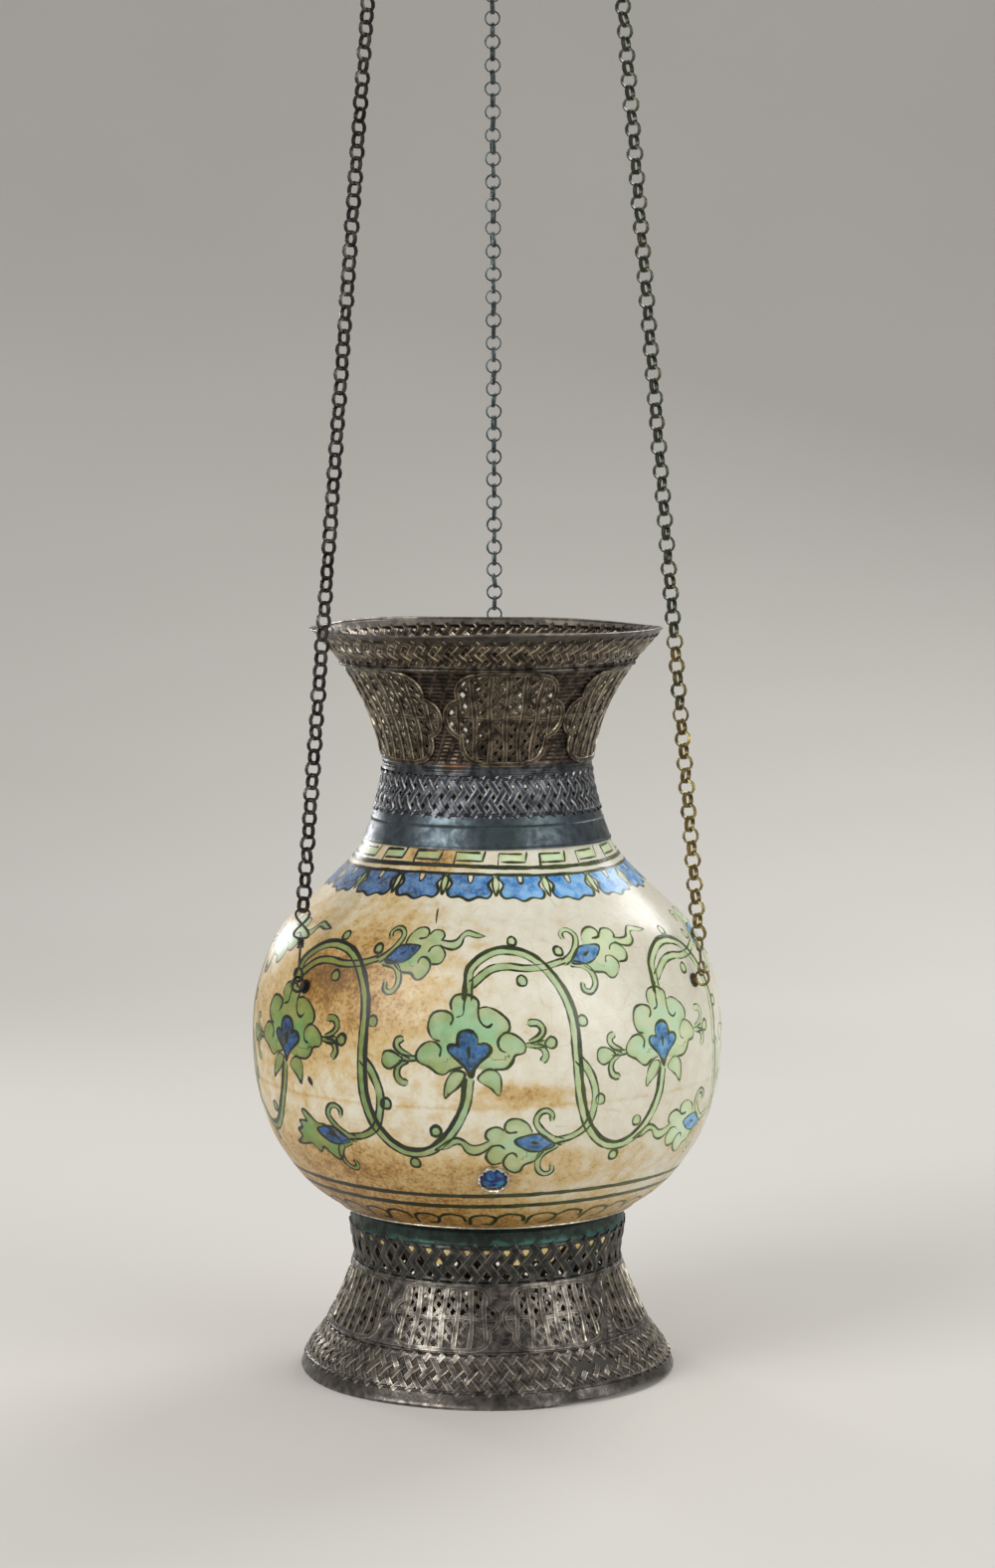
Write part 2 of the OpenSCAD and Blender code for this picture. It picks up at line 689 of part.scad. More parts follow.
module left_top_ring() { color(dark_iron) top_ring(0); }
module left_chain_edge_links() { color(dark_iron) chain_links(0, 0); }
module left_chain_flat_links() { color(dark_iron) chain_links(0, 1); }
module left_hook() { color(dark_iron) hook(0); }
module right_top_ring() { color(old_brass) top_ring(1); }
module right_chain_edge_links() { color(old_brass) chain_links(1, 0); }
module right_chain_flat_links() { color(old_brass) chain_links(1, 1); }
module right_hook() { color(old_brass) hook(1); }
module rear_top_ring() { color(verdigris) top_ring(2); }
module rear_chain_edge_links() { color(verdigris) chain_links(2, 0); }
module rear_chain_flat_links() { color(verdigris) chain_links(2, 1); }
module rear_hook() { color(verdigris) hook(2); }

// Ceramic globe and its plaster beddings

module globe() {
    z_inside_low = z_foot_collar + globe_wall;
    z_inside_high = z_root - globe_wall;
    outside = concat(
        [[0, z_stub_bottom], [foot_stub_r, z_stub_bottom], [foot_stub_r, z_foot_collar]],
        curve_points(globe_line, z_foot_collar, z_neck_base, 30, 0),
        [[neck_stub_r, z_neck_base + 1], [neck_stub_r, z_neck_collar]]);
    inside = concat(
        [[neck_bore_r, z_neck_collar], [neck_bore_r, z_root]],
        turned_back(curve_points(globe_line, z_inside_low, z_inside_high, 24, globe_wall)),
        [[foot_stub_r - globe_wall, z_floor], [0, z_floor]]);
    color(glazed_cream)
        difference() {
            from_foot() rotate_extrude() polygon(concat(outside, inside));
            for (bearing = chain_bearings)
                on_globe(bearing, eye_peg_h)
                    translate([-3 * globe_wall, 0, 0])
                        rotate([0, 90, 0]) cylinder(h = 4 * globe_wall, r = eye_peg_r + fixed_gap);
            on_globe(stud_bearing, stud_h)
                translate([-stud_wall / 2, 0, 0])
                    rotate([0, 90, 0]) cylinder(h = globe_wall, r = stud_shank_r + fixed_gap);
        }
}

module neck_bedding() {
    low = z_neck_base + neck_collar_h / collar_steps;
    bed_r = neck_stub_r + fixed_gap;
    outside = curve_points(neck_line, low, z_neck_collar, collar_steps - 1, sheet_t + fixed_gap);
    color("#cfc4ae")
        from_foot() rotate_extrude() polygon(concat(outside, [[bed_r, z_neck_collar], [bed_r, low]]));
}

module foot_bedding() {
    bed_r = foot_stub_r + fixed_gap;
    color("#cfc4ae") ring_band(bed_r, bed_r + bedding_t, z_foot_upper_lattice, z_foot_collar);
}

// Neck, from the globe up

module neck_collar() {
    color(aged_silver) shell(neck_line, z_neck_base, z_neck_collar, collar_steps, sheet_t);
}

module neck_lower_lattice() {
    color(aged_silver) lattice_band(neck_line, z_neck_collar, z_neck_lower_lattice, 2);
}

module neck_waist_ring() {
    heights = [z_neck_lower_lattice + wire_h / 2, z_neck_waist - wire_h / 2];
    color(worn_silver) wire_band(neck_line, z_neck_lower_lattice, z_neck_waist, heights, wire_h);
}

module neck_panel() {
    color(aged_silver) cartouche_band(neck_line, z_neck_waist, z_neck_panel, 5, neck_cartouches);
}

module neck_wires() {
    wire_d = neck_wires_h / 2;
    heights = [z_neck_panel + wire_d / 2, z_neck_wires - wire_d / 2];
    color(worn_silver) wire_band(neck_line, z_neck_panel, z_neck_wires, heights, wire_d);
}

module neck_upper_lattice() {
    color(aged_silver) lattice_band(neck_line, z_neck_wires, z_neck_upper_lattice, 2);
}

module mouth_rim() { color(worn_silver) shell(neck_line, z_neck_upper_lattice, z_mouth, 2, sheet_t); }

// Foot, from the globe down

module foot_wire(z) {
    wire_band(foot_line, z, z + wire_h, [z + wire_h / 2], wire_h);
}

module foot_collar() { color(verdigris) shell(foot_line, z_foot_upper_lattice, z_foot_collar, 1, sheet_t); }

module foot_upper_lattice() {
    color(aged_silver) lattice_band(foot_line, z_foot_upper_wire, z_foot_upper_lattice, 2);
}

module foot_upper_wire() { color(worn_silver) foot_wire(z_foot_panel); }

module foot_panel() {
    color(aged_silver) cartouche_band(foot_line, z_foot_lower_wire, z_foot_panel, 4, foot_cartouches);
}

module foot_lower_wire() { color(worn_silver) foot_wire(z_foot_lower_lattice); }

module foot_lower_lattice() {
    color(aged_silver) lattice_band(foot_line, z_foot_rim, z_foot_lower_lattice, 2);
}

module foot_rim() { color(worn_silver) shell(foot_line, 0, z_foot_rim, 3, 2 * sheet_t); }

// Eyes, their washers and the plates that clinch them inside

module left_eye() { color(dark_iron) globe_eye(0); }
module right_eye() { color(old_brass) globe_eye(1); }
module rear_eye() { color(verdigris) globe_eye(2); }

module eye_washers() {
    color(worn_silver)
        for (bearing = chain_bearings)
            on_globe(bearing, eye_peg_h)
                rotate([0, 90, 0]) tube(eye_peg_r + fixed_gap, eye_washer_r, eye_washer_t);
}

module clinch_plates() {
    color(worn_silver)
        for (bearing = chain_bearings)
            on_globe(bearing, eye_peg_h)
                translate([-eye_wall - eye_plate_lift - eye_washer_t, 0, 0])
                    rotate([0, 90, 0]) tube(eye_peg_r + fixed_gap, eye_washer_r, eye_washer_t);
}

// Blue stud that plugs the hole low on the front

module stud_glass() {
    cap_r = (pow(stud_r, 2) + pow(stud_head_h, 2)) / (2 * stud_head_h);
    color("#1c4fa0")
        on_globe(stud_bearing, stud_h)
            rotate([0, 90, 0])
                union() {
                    translate([0, 0, fixed_gap - stud_wall / 2])
                        cylinder(h = stud_wall / 2 + stud_lift, r = stud_shank_r);
                    intersection() {
                        translate([0, 0, stud_lift + stud_head_h - cap_r]) sphere(r = cap_r);
                        translate([0, 0, stud_lift]) cylinder(h = 2 * stud_head_h, r = stud_r);
                    }
                }
}

module stud_setting() {
    color(worn_silver)
        on_globe(stud_bearing, stud_h)
            rotate([0, 90, 0])
                translate([0, 0, stud_lift])
                    tube(stud_r + fixed_gap, stud_r + stud_setting_w, stud_setting_t);
}

// Oil cup, its cradle and the wick

module cup_cradle() {
    rim_r = neck_bore_r - cradle_gap;
    color(old_brass)
        from_foot()
            rotate_extrude()
                polygon([
                    [cradle_hole_r, z_neck_collar], [rim_r - sheet_t, z_neck_collar],
                    [rim_r - sheet_t, z_neck_collar - cradle_rim_h], [rim_r, z_neck_collar - cradle_rim_h],
                    [rim_r, z_neck_collar], [cradle_seat_r, z_neck_collar],
                    [cradle_seat_r, z_cradle], [cradle_hole_r, z_cradle]]);
}

module oil_cup() {
    color([0.75, 0.82, 0.78, 0.5])
        from_foot()
            rotate_extrude()
                polygon([
                    [0, z_cup_bottom], [cup_foot_r, z_cup_bottom],
                    [cup_r, z_cradle], [cup_r + cup_flange_w, z_cradle], [cup_r + cup_flange_w, z_cup_top],
                    [cup_r - cup_wall, z_cup_top], [cup_foot_r - cup_wall, z_cup_bottom + 2 * cup_wall],
                    [0, z_cup_bottom + 2 * cup_wall]]);
}

module wick_holder() {
    arm_l = cup_r + cup_flange_w / 2;
    tube_h = wick_tube_drop + wick_arm_t + wick_tube_rise;
    color(worn_silver)
        from_foot()
            difference() {
                union() {
                    translate([0, 0, z_cup_top - wick_tube_drop]) cylinder(h = tube_h, r = wick_tube_r);
                    for (arm = [0:wick_arms - 1])
                        rotate([0, 0, (arm + 0.5) * 360 / wick_arms])
                            translate([0, -wick_arm_w / 2, z_cup_top]) cube([arm_l, wick_arm_w, wick_arm_t]);
                }
                translate([0, 0, z_cup_top - 2 * wick_tube_drop])
                    cylinder(h = 3 * wick_tube_drop, r = wick_bore_r);
            }
}

module wick() {
    bottom = z_cup_top - wick_tube_drop - wick_tail;
    color("#e8e2d0")
        from_foot()
            translate([0, 0, bottom])
                cylinder(h = z_wick_arms + wick_tube_rise + wick_tip - bottom, r = wick_r);
}

hanger_link();
swivel_fork();
hanger_pin();
swivel_washer();
crown_dome();
crown_hub();
crown_washer();
left_crown_eye();
right_crown_eye();
rear_crown_eye();
left_top_ring();
left_chain_edge_links();
left_chain_flat_links();
left_hook();
right_top_ring();
right_chain_edge_links();
right_chain_flat_links();
right_hook();
rear_top_ring();
rear_chain_edge_links();
rear_chain_flat_links();
rear_hook();
globe();
neck_bedding();
foot_bedding();
neck_collar();
neck_lower_lattice();
neck_waist_ring();
neck_panel();
neck_wires();
neck_upper_lattice();
mouth_rim();
foot_collar();
foot_upper_lattice();
foot_upper_wire();
foot_panel();
foot_lower_wire();
foot_lower_lattice();
foot_rim();
left_eye();
right_eye();
rear_eye();
eye_washers();
clinch_plates();
stud_glass();
stud_setting();
cup_cradle();
oil_cup();
wick_holder();
wick();
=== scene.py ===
"""Hanging mosque lamp: a painted ceramic globe between pierced silver mounts, on three chains.

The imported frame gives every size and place. This add-on dresses it: the painted glaze, the
plaited and pierced bands, the hand-wound chain links and a plain studio to show it in.
Drawing is in millimetres above the foot, and bearings count from the front to the right.
"""
import json
import math
from functools import partial

import bpy
import numpy as np
from bpy.props import FloatProperty, FloatVectorProperty, IntProperty, PointerProperty
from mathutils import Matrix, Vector


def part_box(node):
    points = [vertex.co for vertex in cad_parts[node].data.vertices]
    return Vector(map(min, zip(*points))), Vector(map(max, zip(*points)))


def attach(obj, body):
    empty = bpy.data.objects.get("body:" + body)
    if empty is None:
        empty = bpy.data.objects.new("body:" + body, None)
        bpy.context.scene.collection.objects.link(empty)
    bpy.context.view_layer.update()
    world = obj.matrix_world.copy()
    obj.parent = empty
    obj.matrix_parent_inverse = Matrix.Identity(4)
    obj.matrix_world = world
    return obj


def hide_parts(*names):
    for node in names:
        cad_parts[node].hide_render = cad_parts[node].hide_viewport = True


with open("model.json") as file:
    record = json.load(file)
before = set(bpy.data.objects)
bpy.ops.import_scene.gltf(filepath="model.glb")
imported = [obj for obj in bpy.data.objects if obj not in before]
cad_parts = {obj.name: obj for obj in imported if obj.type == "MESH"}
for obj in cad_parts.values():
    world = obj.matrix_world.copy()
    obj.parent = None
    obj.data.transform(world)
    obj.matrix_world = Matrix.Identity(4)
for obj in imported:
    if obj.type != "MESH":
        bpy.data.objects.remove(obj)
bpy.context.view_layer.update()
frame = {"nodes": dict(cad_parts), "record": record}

bl_info = {
    "name": "Mosque lamp",
    "version": (1, 0, 0),
    "blender": (4, 5, 0),
    "location": "View3D > Sidebar > Lamp",
    "description": "Dresses the packed lamp in painted glaze, pierced silver and wound chain",
    "category": "Add Mesh",
}

MM = 0.001
FOOT_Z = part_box("foot_rim")[0].z
SIDES = ("left", "right", "rear")

# Outlines as (height, radius) stations in mm, the same as the solids' own
FOOT_LINE = ((0, 86), (6.5, 83.9), (21.5, 73.6), (36.2, 66.4), (50.3, 61.4), (67.9, 63.2), (73.9, 63.2))
NECK_LINE = ((244, 56.9), (258, 51.9), (275.3, 48.2), (280.5, 48.2), (301.75, 54), (323, 65.8),
             (337.5, 78.2), (340, 80))
GLOBE_LINE = ((73.9, 61.9), (83.3, 76.8), (103.5, 94.6), (125.3, 103.8), (152.6, 107.2), (179.7, 104.3),
              (203.8, 93.2), (222.1, 74.6), (235, 62), (244, 55.6))


def band(node):
    """Lowest and highest point of a solid, in mm above the foot."""
    low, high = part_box(node)
    return (low.z - FOOT_Z) / MM, (high.z - FOOT_Z) / MM


def linear(code):
    """Linear colour of an sRGB hex code. A colour setting is linear already and stays as it is."""
    if not isinstance(code, str):
        return tuple(code)
    parts = [int(code[i:i + 2], 16) / 255 for i in (1, 3, 5)]
    return tuple(p / 12.92 if p <= 0.04045 else ((p + 0.055) / 1.055) ** 2.4 for p in parts)


def tint(label, note, code):
    """A colour setting with its default as an sRGB hex code."""
    return FloatVectorProperty(name=label, description=note, subtype="COLOR", default=linear(code),
                               min=0, max=1)


def length(label, note, value):
    """A length setting in metres, with its default in mm."""
    return FloatProperty(name=label, description=note, unit="LENGTH", default=value * MM, min=0)


def count(label, note, value):
    """A whole-number setting."""
    return IntProperty(name=label, description=note, default=value, min=1)


class LampSizes(bpy.types.PropertyGroup):
    """Sizes of the fine work that the solids leave plain."""
    brush: length("Brush line", "Half width of a painted outline", 0.54)
    vine: length("Vine", "Half width of a painted stem", 1.8)
    strap_t: length("Strap thickness", "Half thickness of a plaited strap", 0.55)
    weave: length("Weave", "How far a strap rises over and dips under another", 0.4)
    lower_neck: count("Lower neck straps", "Straps each way in the lower band of the neck", 52)
    upper_neck: count("Upper neck straps", "Straps each way in the upper band of the neck", 66)
    upper_foot: count("Upper foot straps", "Straps each way in the upper band of the foot", 44)
    lower_foot: count("Lower foot straps", "Straps each way in the lower band of the foot", 72)
    neck_panels: count("Neck panels", "Lobed panels around the neck", 6)
    foot_panels: count("Foot panels", "Lobed panels around the foot", 8)
    upright: length("Upright", "Half width of a bar in the pierced panels", 1.35)
    tendril: length("Tendril", "Half width of the thin bars behind the uprights", 0.85)


class LampColours(bpy.types.PropertyGroup):
    """Colours of the glaze, the metals and the floor."""
    cream: tint("Cream", "Clean glaze", "#e6e3d2")
    ochre: tint("Ochre", "Old stain in the glaze", "#b98d47")
    leaf: tint("Leaf", "Copper green of the leaves", "#3f7030")
    cobalt: tint("Cobalt", "Blue of the flowers", "#0f4f8e")
    ink: tint("Ink", "Green-black of the drawn lines", "#0c1006")
    tarnish: tint("Tarnish", "Brown-black tarnish on silver", "#17110d")
    steel: tint("Steel", "Blue-grey tarnish at the neck's base", "#454d52")
    verdigris: tint("Verdigris", "Green corrosion", "#37625a")
    iron: tint("Iron", "Dark wire", "#3c3a38")
    floor: tint("Floor", "Studio floor", "#dcd9d3")


# Meshes

def curve_radius(line, h):
    """Radius at a height: a cubic through the outline's stations."""
    z, r = np.array(line, float).T
    step = np.diff(z)
    rise = np.diff(r) / step
    middle = (rise[:-1] * step[1:] + rise[1:] * step[:-1]) / (step[:-1] + step[1:])
    slope = np.concatenate([rise[:1], middle, rise[-1:]])
    i = np.clip(np.searchsorted(z, h, side="right") - 1, 0, len(step) - 1)
    t = (h - z[i]) / step[i]
    return ((2 * t ** 3 - 3 * t ** 2 + 1) * r[i] + (t ** 3 - 2 * t ** 2 + t) * step[i] * slope[i]
            + (3 * t ** 2 - 2 * t ** 3) * r[i + 1] + (t ** 3 - t ** 2) * step[i] * slope[i + 1])


def round_axis(bearing, r, h):
    """Points at bearings, radii and heights about the lamp's axis."""
    return np.stack([r * np.sin(bearing), -r * np.cos(bearing), h + 0 * bearing], -1)


def on_line(line, bearing, h, lift):
    """Points and outward directions on a turned outline, lifted off it square to its surface."""
    h = np.asarray(h, float)
    lean = curve_radius(line, h + 0.5) - curve_radius(line, h - 0.5)
    flat = 1 / np.sqrt(1 + lean ** 2)
    out = np.stack([flat * np.sin(bearing), -flat * np.cos(bearing), -lean * flat], -1)
    return round_axis(bearing, curve_radius(line, h), h) + out * np.asarray(lift, float)[..., None], out


def in_metres(points):
    """Points in mm above the foot, in the frame's metres."""
    return np.asarray(points, float) * MM + (0, 0, FOOT_Z)


def deselect():
    """Leaves object mode with nothing selected."""
    if bpy.context.object and bpy.context.object.mode != "OBJECT":
        bpy.ops.object.mode_set(mode="OBJECT")
    bpy.ops.object.select_all(action="DESELECT")


def pick(obj):
    """Makes one object the selected and active one."""
    deselect()
    obj.select_set(True)
    bpy.context.view_layer.objects.active = obj


def new_object(name, points, edges=(), faces=()):
    """A mesh object from points in mm above the foot."""
    mesh = bpy.data.meshes.new(name)
    mesh.from_pydata(in_metres(points).tolist(), list(edges), list(faces))
    obj = bpy.data.objects.new(name, mesh)
    bpy.context.scene.collection.objects.link(obj)
    pick(obj)
    return obj


def close_up(merge=True):
    """Merges doubles and points every face of the active object outwards."""
    bpy.ops.object.mode_set(mode="EDIT")
    bpy.ops.mesh.select_all(action="SELECT")
    if merge:
        bpy.ops.mesh.remove_doubles(threshold=0.01 * MM)
    bpy.ops.mesh.normals_make_consistent(inside=False)
    bpy.ops.object.mode_set(mode="OBJECT")


def edit_edges(obj, wanted):
    """Opens an object for editing with only the wanted edges selected."""
    bpy.ops.object.mode_set(mode="EDIT")
    bpy.ops.mesh.select_all(action="DESELECT")
    bpy.ops.object.mode_set(mode="OBJECT")
    for edge in obj.data.edges:
        edge.select = wanted(*(obj.data.vertices[i].co for i in edge.vertices))
    bpy.ops.object.mode_set(mode="EDIT")
    bpy.ops.mesh.select_mode(type="EDGE")


def discard(obj):
    """Removes a primitive whose shape has been read."""
    mesh = obj.data
    bpy.data.objects.remove(obj)
    bpy.data.meshes.remove(mesh)


def turned(name, outline, steps):
    """A closed (radius, height) outline turned about the lamp's axis."""
    points = [(0, -r, h) for r, h in outline]
    edges = [(i, (i + 1) % len(points)) for i in range(len(points))]
    obj = new_object(name, points, edges)
    bpy.ops.object.mode_set(mode="EDIT")
    bpy.ops.mesh.select_all(action="SELECT")
    bpy.ops.mesh.spin(steps=steps, angle=math.tau, center=(0, 0, 0), axis=(0, 0, 1))
    close_up()
    return obj


def coordinates(mesh):
    """Every vertex's place in metres, as rows."""
    co = np.empty(len(mesh.vertices) * 3)
    mesh.vertices.foreach_get("co", co)
    return co.reshape(-1, 3)


def heights(obj):
    """Bearing, radius and height in mm of every vertex."""
    x, y, z = coordinates(obj.data).T / MM
    return np.arctan2(x, -y), np.hypot(x, y), z - FOOT_Z / MM


def shape_to(obj, points):
    """Moves every vertex of an object to points in mm above the foot."""
    obj.data.vertices.foreach_set("co", in_metres(points).ravel())
    obj.data.update()


def attribute(obj, name, values, domain="POINT"):
    """Stores a number on every vertex or face corner, for the material to read."""
    made = obj.data.attributes.new(name, "FLOAT", domain)
    made.data.foreach_set("value", np.asarray(values, np.float32))


def place(obj, body, slot, material, *nodes, angle=40):
    """Finishes a piece: its shading, its material, its body and the solids it stands for."""
    pick(obj)
    bpy.ops.object.shade_smooth_by_angle(angle=math.radians(angle))
    obj.data.materials.clear()
    obj.data.materials.append(material)
    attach(obj, body)
    if nodes:
        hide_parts(*nodes)


# How far a bar's flat top reaches towards its flanks
FLANK = 1.36


class Bars:
    """Collects copies of one six-sided bar, each laid along its own path."""

    def __init__(self):
        self.points, self.faces, self.worn, self.across, self.shapes = [], [], [], [], {}
        self.total = 0

    def shape(self, segments):
        """The straight bar: side and outward reach and ring of every vertex, and its faces."""
        if segments not in self.shapes:
            deselect()
            bpy.ops.mesh.primitive_cylinder_add(vertices=6, radius=1, depth=1, location=(0, 0, 0))
            bar = bpy.context.object
            edit_edges(bar, lambda a, b: abs(a.z - b.z) > 0.5)
            bpy.ops.mesh.subdivide(number_cuts=segments - 1)
            bpy.ops.object.mode_set(mode="OBJECT")
            co = coordinates(bar.data)
            ring = np.rint((co[:, 2] + 0.5) * segments).astype(int)
            faces = [tuple(p.vertices) for p in bar.data.polygons]
            # Flat on top, with bevelled sides
            side = np.where(np.abs(co[:, 1]) > 0.9, co[:, 1], FLANK * co[:, 1])
            self.shapes[segments] = (side, co[:, 0] / math.cos(math.pi / 6), ring, faces)
            discard(bar)
        return self.shapes[segments]

    def lay(self, at, out, half_w, half_t, shine=1.0):
        """Lays one bar along a path, given its points, outward directions and how rubbed it is."""
        side, reach, ring, faces = self.shape(len(at) - 1)
        along = np.gradient(at, axis=0)
        across = np.cross(along, out)
        across /= np.linalg.norm(across, axis=1)[:, None]
        wide = side * np.broadcast_to(half_w, len(at))[ring]
        thick = reach * np.broadcast_to(half_t, len(at))[ring]
        self.points.append(at[ring] + across[ring] * wide[:, None] + out[ring] * thick[:, None])
        self.faces += [tuple(i + self.total for i in f) for f in faces]
        self.worn.append(np.abs(reach) * shine)
        self.across.append(side)
        self.total += len(ring)

    def make(self, name):
        """All the bars as one object."""
        obj = new_object(name, np.vstack(self.points), (), self.faces)
        close_up(merge=False)
        attribute(obj, "worn", np.concatenate(self.worn))
        attribute(obj, "across", np.concatenate(self.across))
        return obj


def torus(around, section):
    """A ring of radius 2 with a section of radius 1: itself, and the place of every vertex and its
    reach outwards from the middle of the section."""
    deselect()
    bpy.ops.mesh.primitive_torus_add(major_segments=around, minor_segments=section, major_radius=2,
                                     minor_radius=1)
    obj = bpy.context.object
    co = coordinates(obj.data)
    return obj, co, np.hypot(co[:, 0], co[:, 1]) - 2


def rail(line, h, half_w, half_t, lift):
    """A plain strip around a band at one height."""
    obj, co, reach = torus(160, 6)
    bearing = np.arctan2(co[:, 0], -co[:, 1])
    shape_to(obj, on_line(line, bearing, h + co[:, 2] * half_w, lift + reach * half_t)[0])
    attribute(obj, "worn", np.clip(reach, 0, 1))
    return obj


def joined(name, *parts):
    """Several objects as one."""
    deselect()
    for part in parts:
        part.select_set(True)
    bpy.context.view_layer.objects.active = parts[0]
    bpy.ops.object.join()
    parts[0].name = parts[0].data.name = name
    return parts[0]


# Materials

# A Mix node's sockets for its share and its two colours. A Map Range's sockets are, in order, its
# value, the ends of the span it comes from and the ends of the span it goes to
SHARE, UNDER, OVER = 0, 6, 7


def fill_sockets(tree, node, inputs):
    """Links or sets a node's sockets, given by name, or by number in their order."""
    for key, value in inputs.items() if isinstance(inputs, dict) else enumerate(inputs):
        socket = node.inputs[key]
        if isinstance(value, bpy.types.NodeSocket):
            tree.links.new(value, socket)
        else:
            socket.default_value = (*linear(value), 1) if socket.type == "RGBA" else value


def add(tree, kind, inputs=(), stops=(), out=None, **settings):
    """Adds a shader node with its settings, sockets and ramp stops, and gives the output it uses."""
    made = tree.nodes.new("ShaderNode" + kind)
    for name, value in settings.items():
        setattr(made, name, value)
    fill_sockets(tree, made, inputs)
    for i, (at, colour) in enumerate(stops):
        stop = made.color_ramp.elements[i] if i < 2 else made.color_ramp.elements.new(at)
        stop.position, stop.color = at, (*linear(colour), 1)
    return made.outputs[out] if out else next(o for o in made.outputs if o.enabled)


def blank(name):
    """A new material, and the function that adds a node to it."""
    made = bpy.data.materials.new(name)
    made.use_nodes = True
    return made, partial(add, made.node_tree)


def finished(made, inputs):
    """A material with its shader's sockets filled."""
    fill_sockets(made.node_tree, made.node_tree.nodes["Principled BSDF"], inputs)
    return made


def per(size_mm):
    """Pattern scale on Object coordinates for a feature of a real size."""
    return 1 / (size_mm * MM)


def painted_glaze(colours):
    """Tin-glazed earthenware painted under a clear glaze: soft brush colour, thin in the middle
    of a leaf and pooled at its edge, a glassy skin, fine crazing, and brown stain soaked in."""
    made, node = blank("painted_tin_glaze")
    at = node("TexCoord", out="Object")
    read = {name: node("Attribute", out="Fac", attribute_name=name) for name in (
        "first_line", "first_width", "second_line", "second_width", "leaf", "cobalt", "stain", "fade",
        "wash")}
    cloud, grain, speck, wander, hue = (
        node("TexNoise", {"Vector": at, "Scale": per(size), "Detail": detail})
        for size, detail in ((30, 5), (6, 7), (1.6, 3), (7, 3), (11, 3)))
    # Brush edges wander by a third of a millimetre
    nudge = node("MapRange", (wander, 0.25, 0.75, -0.36, 0.36))
    edges = {"leaf": read["leaf"], "cobalt": read["cobalt"]}
    for name in ("first", "second"):
        off = node("Math", (read[name + "_line"],), operation="ABSOLUTE")
        off = node("Math", (read["fade"], 0.16, off), operation="MULTIPLY_ADD")
        edges[name] = node("Math", (off, read[name + "_width"]), operation="SUBTRACT")
    edges["ink"] = node("Math", (edges["first"], edges["second"]), operation="MINIMUM")
    painted = {}
    for name in ("ink", "leaf", "cobalt"):
        edge = node("Math", (edges[name], nudge), operation="ADD")
        painted[name] = node("MapRange", (edge, -0.2, 0.2, 1, 0), interpolation_type="SMOOTHSTEP")
    # Cream glaze goes through beige and ochre to rust as the stain deepens, and as painted shade darkens it
    # low on the globe, with dark pits
    soak_and_shade = node("Math", (read["stain"], -0.55), operation="ADD")
    for noise, amount in ((grain, 0.55), (cloud, 0.35), (speck, 0.2)):
        soak_and_shade = node("Math", (noise, amount, soak_and_shade), operation="MULTIPLY_ADD")
    colour = node("ValToRGB", (soak_and_shade,), ((0, colours.cream), (1, "#7d5826"), (0.2, "#ddd6c1"),
                                        (0.42, "#ccb17c"), (0.68, colours.ochre)))
    pit = node("MapRange", (node("Math", (speck, soak_and_shade), operation="MULTIPLY"), 0.24, 0.46, 0, 0.75))
    # Crazing: a net of hairlines about 11 mm apart
    net = node("TexVoronoi", {"Vector": at, "Scale": per(11)}, feature="DISTANCE_TO_EDGE")
    hair = node("MapRange", (net, 0, 0.016, 0.2, 0))
    # Copper green: paler towards the right side and up the shoulder, partly faded and partly painted
    # light, yellower or bluer from stroke to stroke, pooled along the brush line, and olive where stain,
    # and low on the globe painted shade, lies over the paint as well
    green, cool, pooled, edge = (
        node("Mix", {SHARE: read["wash"], UNDER: fresh, OVER: faded_and_lit}, data_type="RGBA")
        for fresh, faded_and_lit in (("#76914a", "#eaf2c8"), ("#2f9350", "#d6f4cf"), ("#5d772a", "#cde0a6"),
                             (colours.leaf, "#8fb46c")))
    pool = node("MapRange", (read["leaf"], -4.8, -1))
    pool = node("Math", (pool, node("MapRange", (grain, 0.36, 0.64, 0.3))), operation="MULTIPLY")
    rim = node("MapRange", (read["leaf"], -1.2, 0.2, 0, 0.55))
    olive = node("MapRange", (soak_and_shade, 0.3, 0.9, 0, 0.6))
    hue = node("MapRange", (hue, 0.42, 0.6))
    for share, over in ((hue, cool), (pool, pooled), (rim, edge), (olive, "#8d8436")):
        green = node("Mix", {SHARE: share, UNDER: green, OVER: over}, data_type="RGBA")
    thin = node("MapRange", (grain, 0.3, 0.7, 0.74, 0.97))
    thin = node("Math", (painted["leaf"], thin), operation="MULTIPLY")
    # Cobalt: mottled by the brush, paler on the same side, partly faded and partly painted light
    mottle = node("MapRange", (grain, 0.4, 0.6))
    strong, washed_and_lit = (node("Mix", {SHARE: mottle, UNDER: dark, OVER: light}, data_type="RGBA")
                      for dark, light in (("#021430", colours.cobalt), ("#2c84d0", "#8ac8fa")))
    late = node("Math", (read["wash"], 2), operation="POWER")
    blue = node("Mix", {SHARE: late, UNDER: strong, OVER: washed_and_lit}, data_type="RGBA")
    laid = node("MapRange", (speck, 0.34, 0.6, 0.8))
    laid = node("Math", (painted["cobalt"], laid), operation="MULTIPLY")
    # The drawn line is greener towards the right side, partly faded and partly painted light
    worn = node("Math", (read["fade"], node("MapRange", (grain, 0.35, 0.55, 0.3))), operation="MULTIPLY")
    line = node("Mix", {SHARE: worn, UNDER: colours.ink, OVER: "#52622a"}, data_type="RGBA")
    for share, over in ((pit, "#6a4a22"), (hair, "#8d7355"), (thin, green), (laid, blue),
                        (painted["ink"], line)):
        colour = node("Mix", {SHARE: share, UNDER: colour, OVER: over}, data_type="RGBA")
    rough = node("MapRange", (soak_and_shade, 0, 1, 0.22, 0.5))
    dent = node("Math", (cloud, speck), operation="MULTIPLY")
    bump = node("Bump", {"Height": dent, "Strength": 0.35, "Distance": 0.5 * MM})
    return finished(made, {"Base Color": colour, "Roughness": rough, "Normal": bump, "IOR": 1.52})


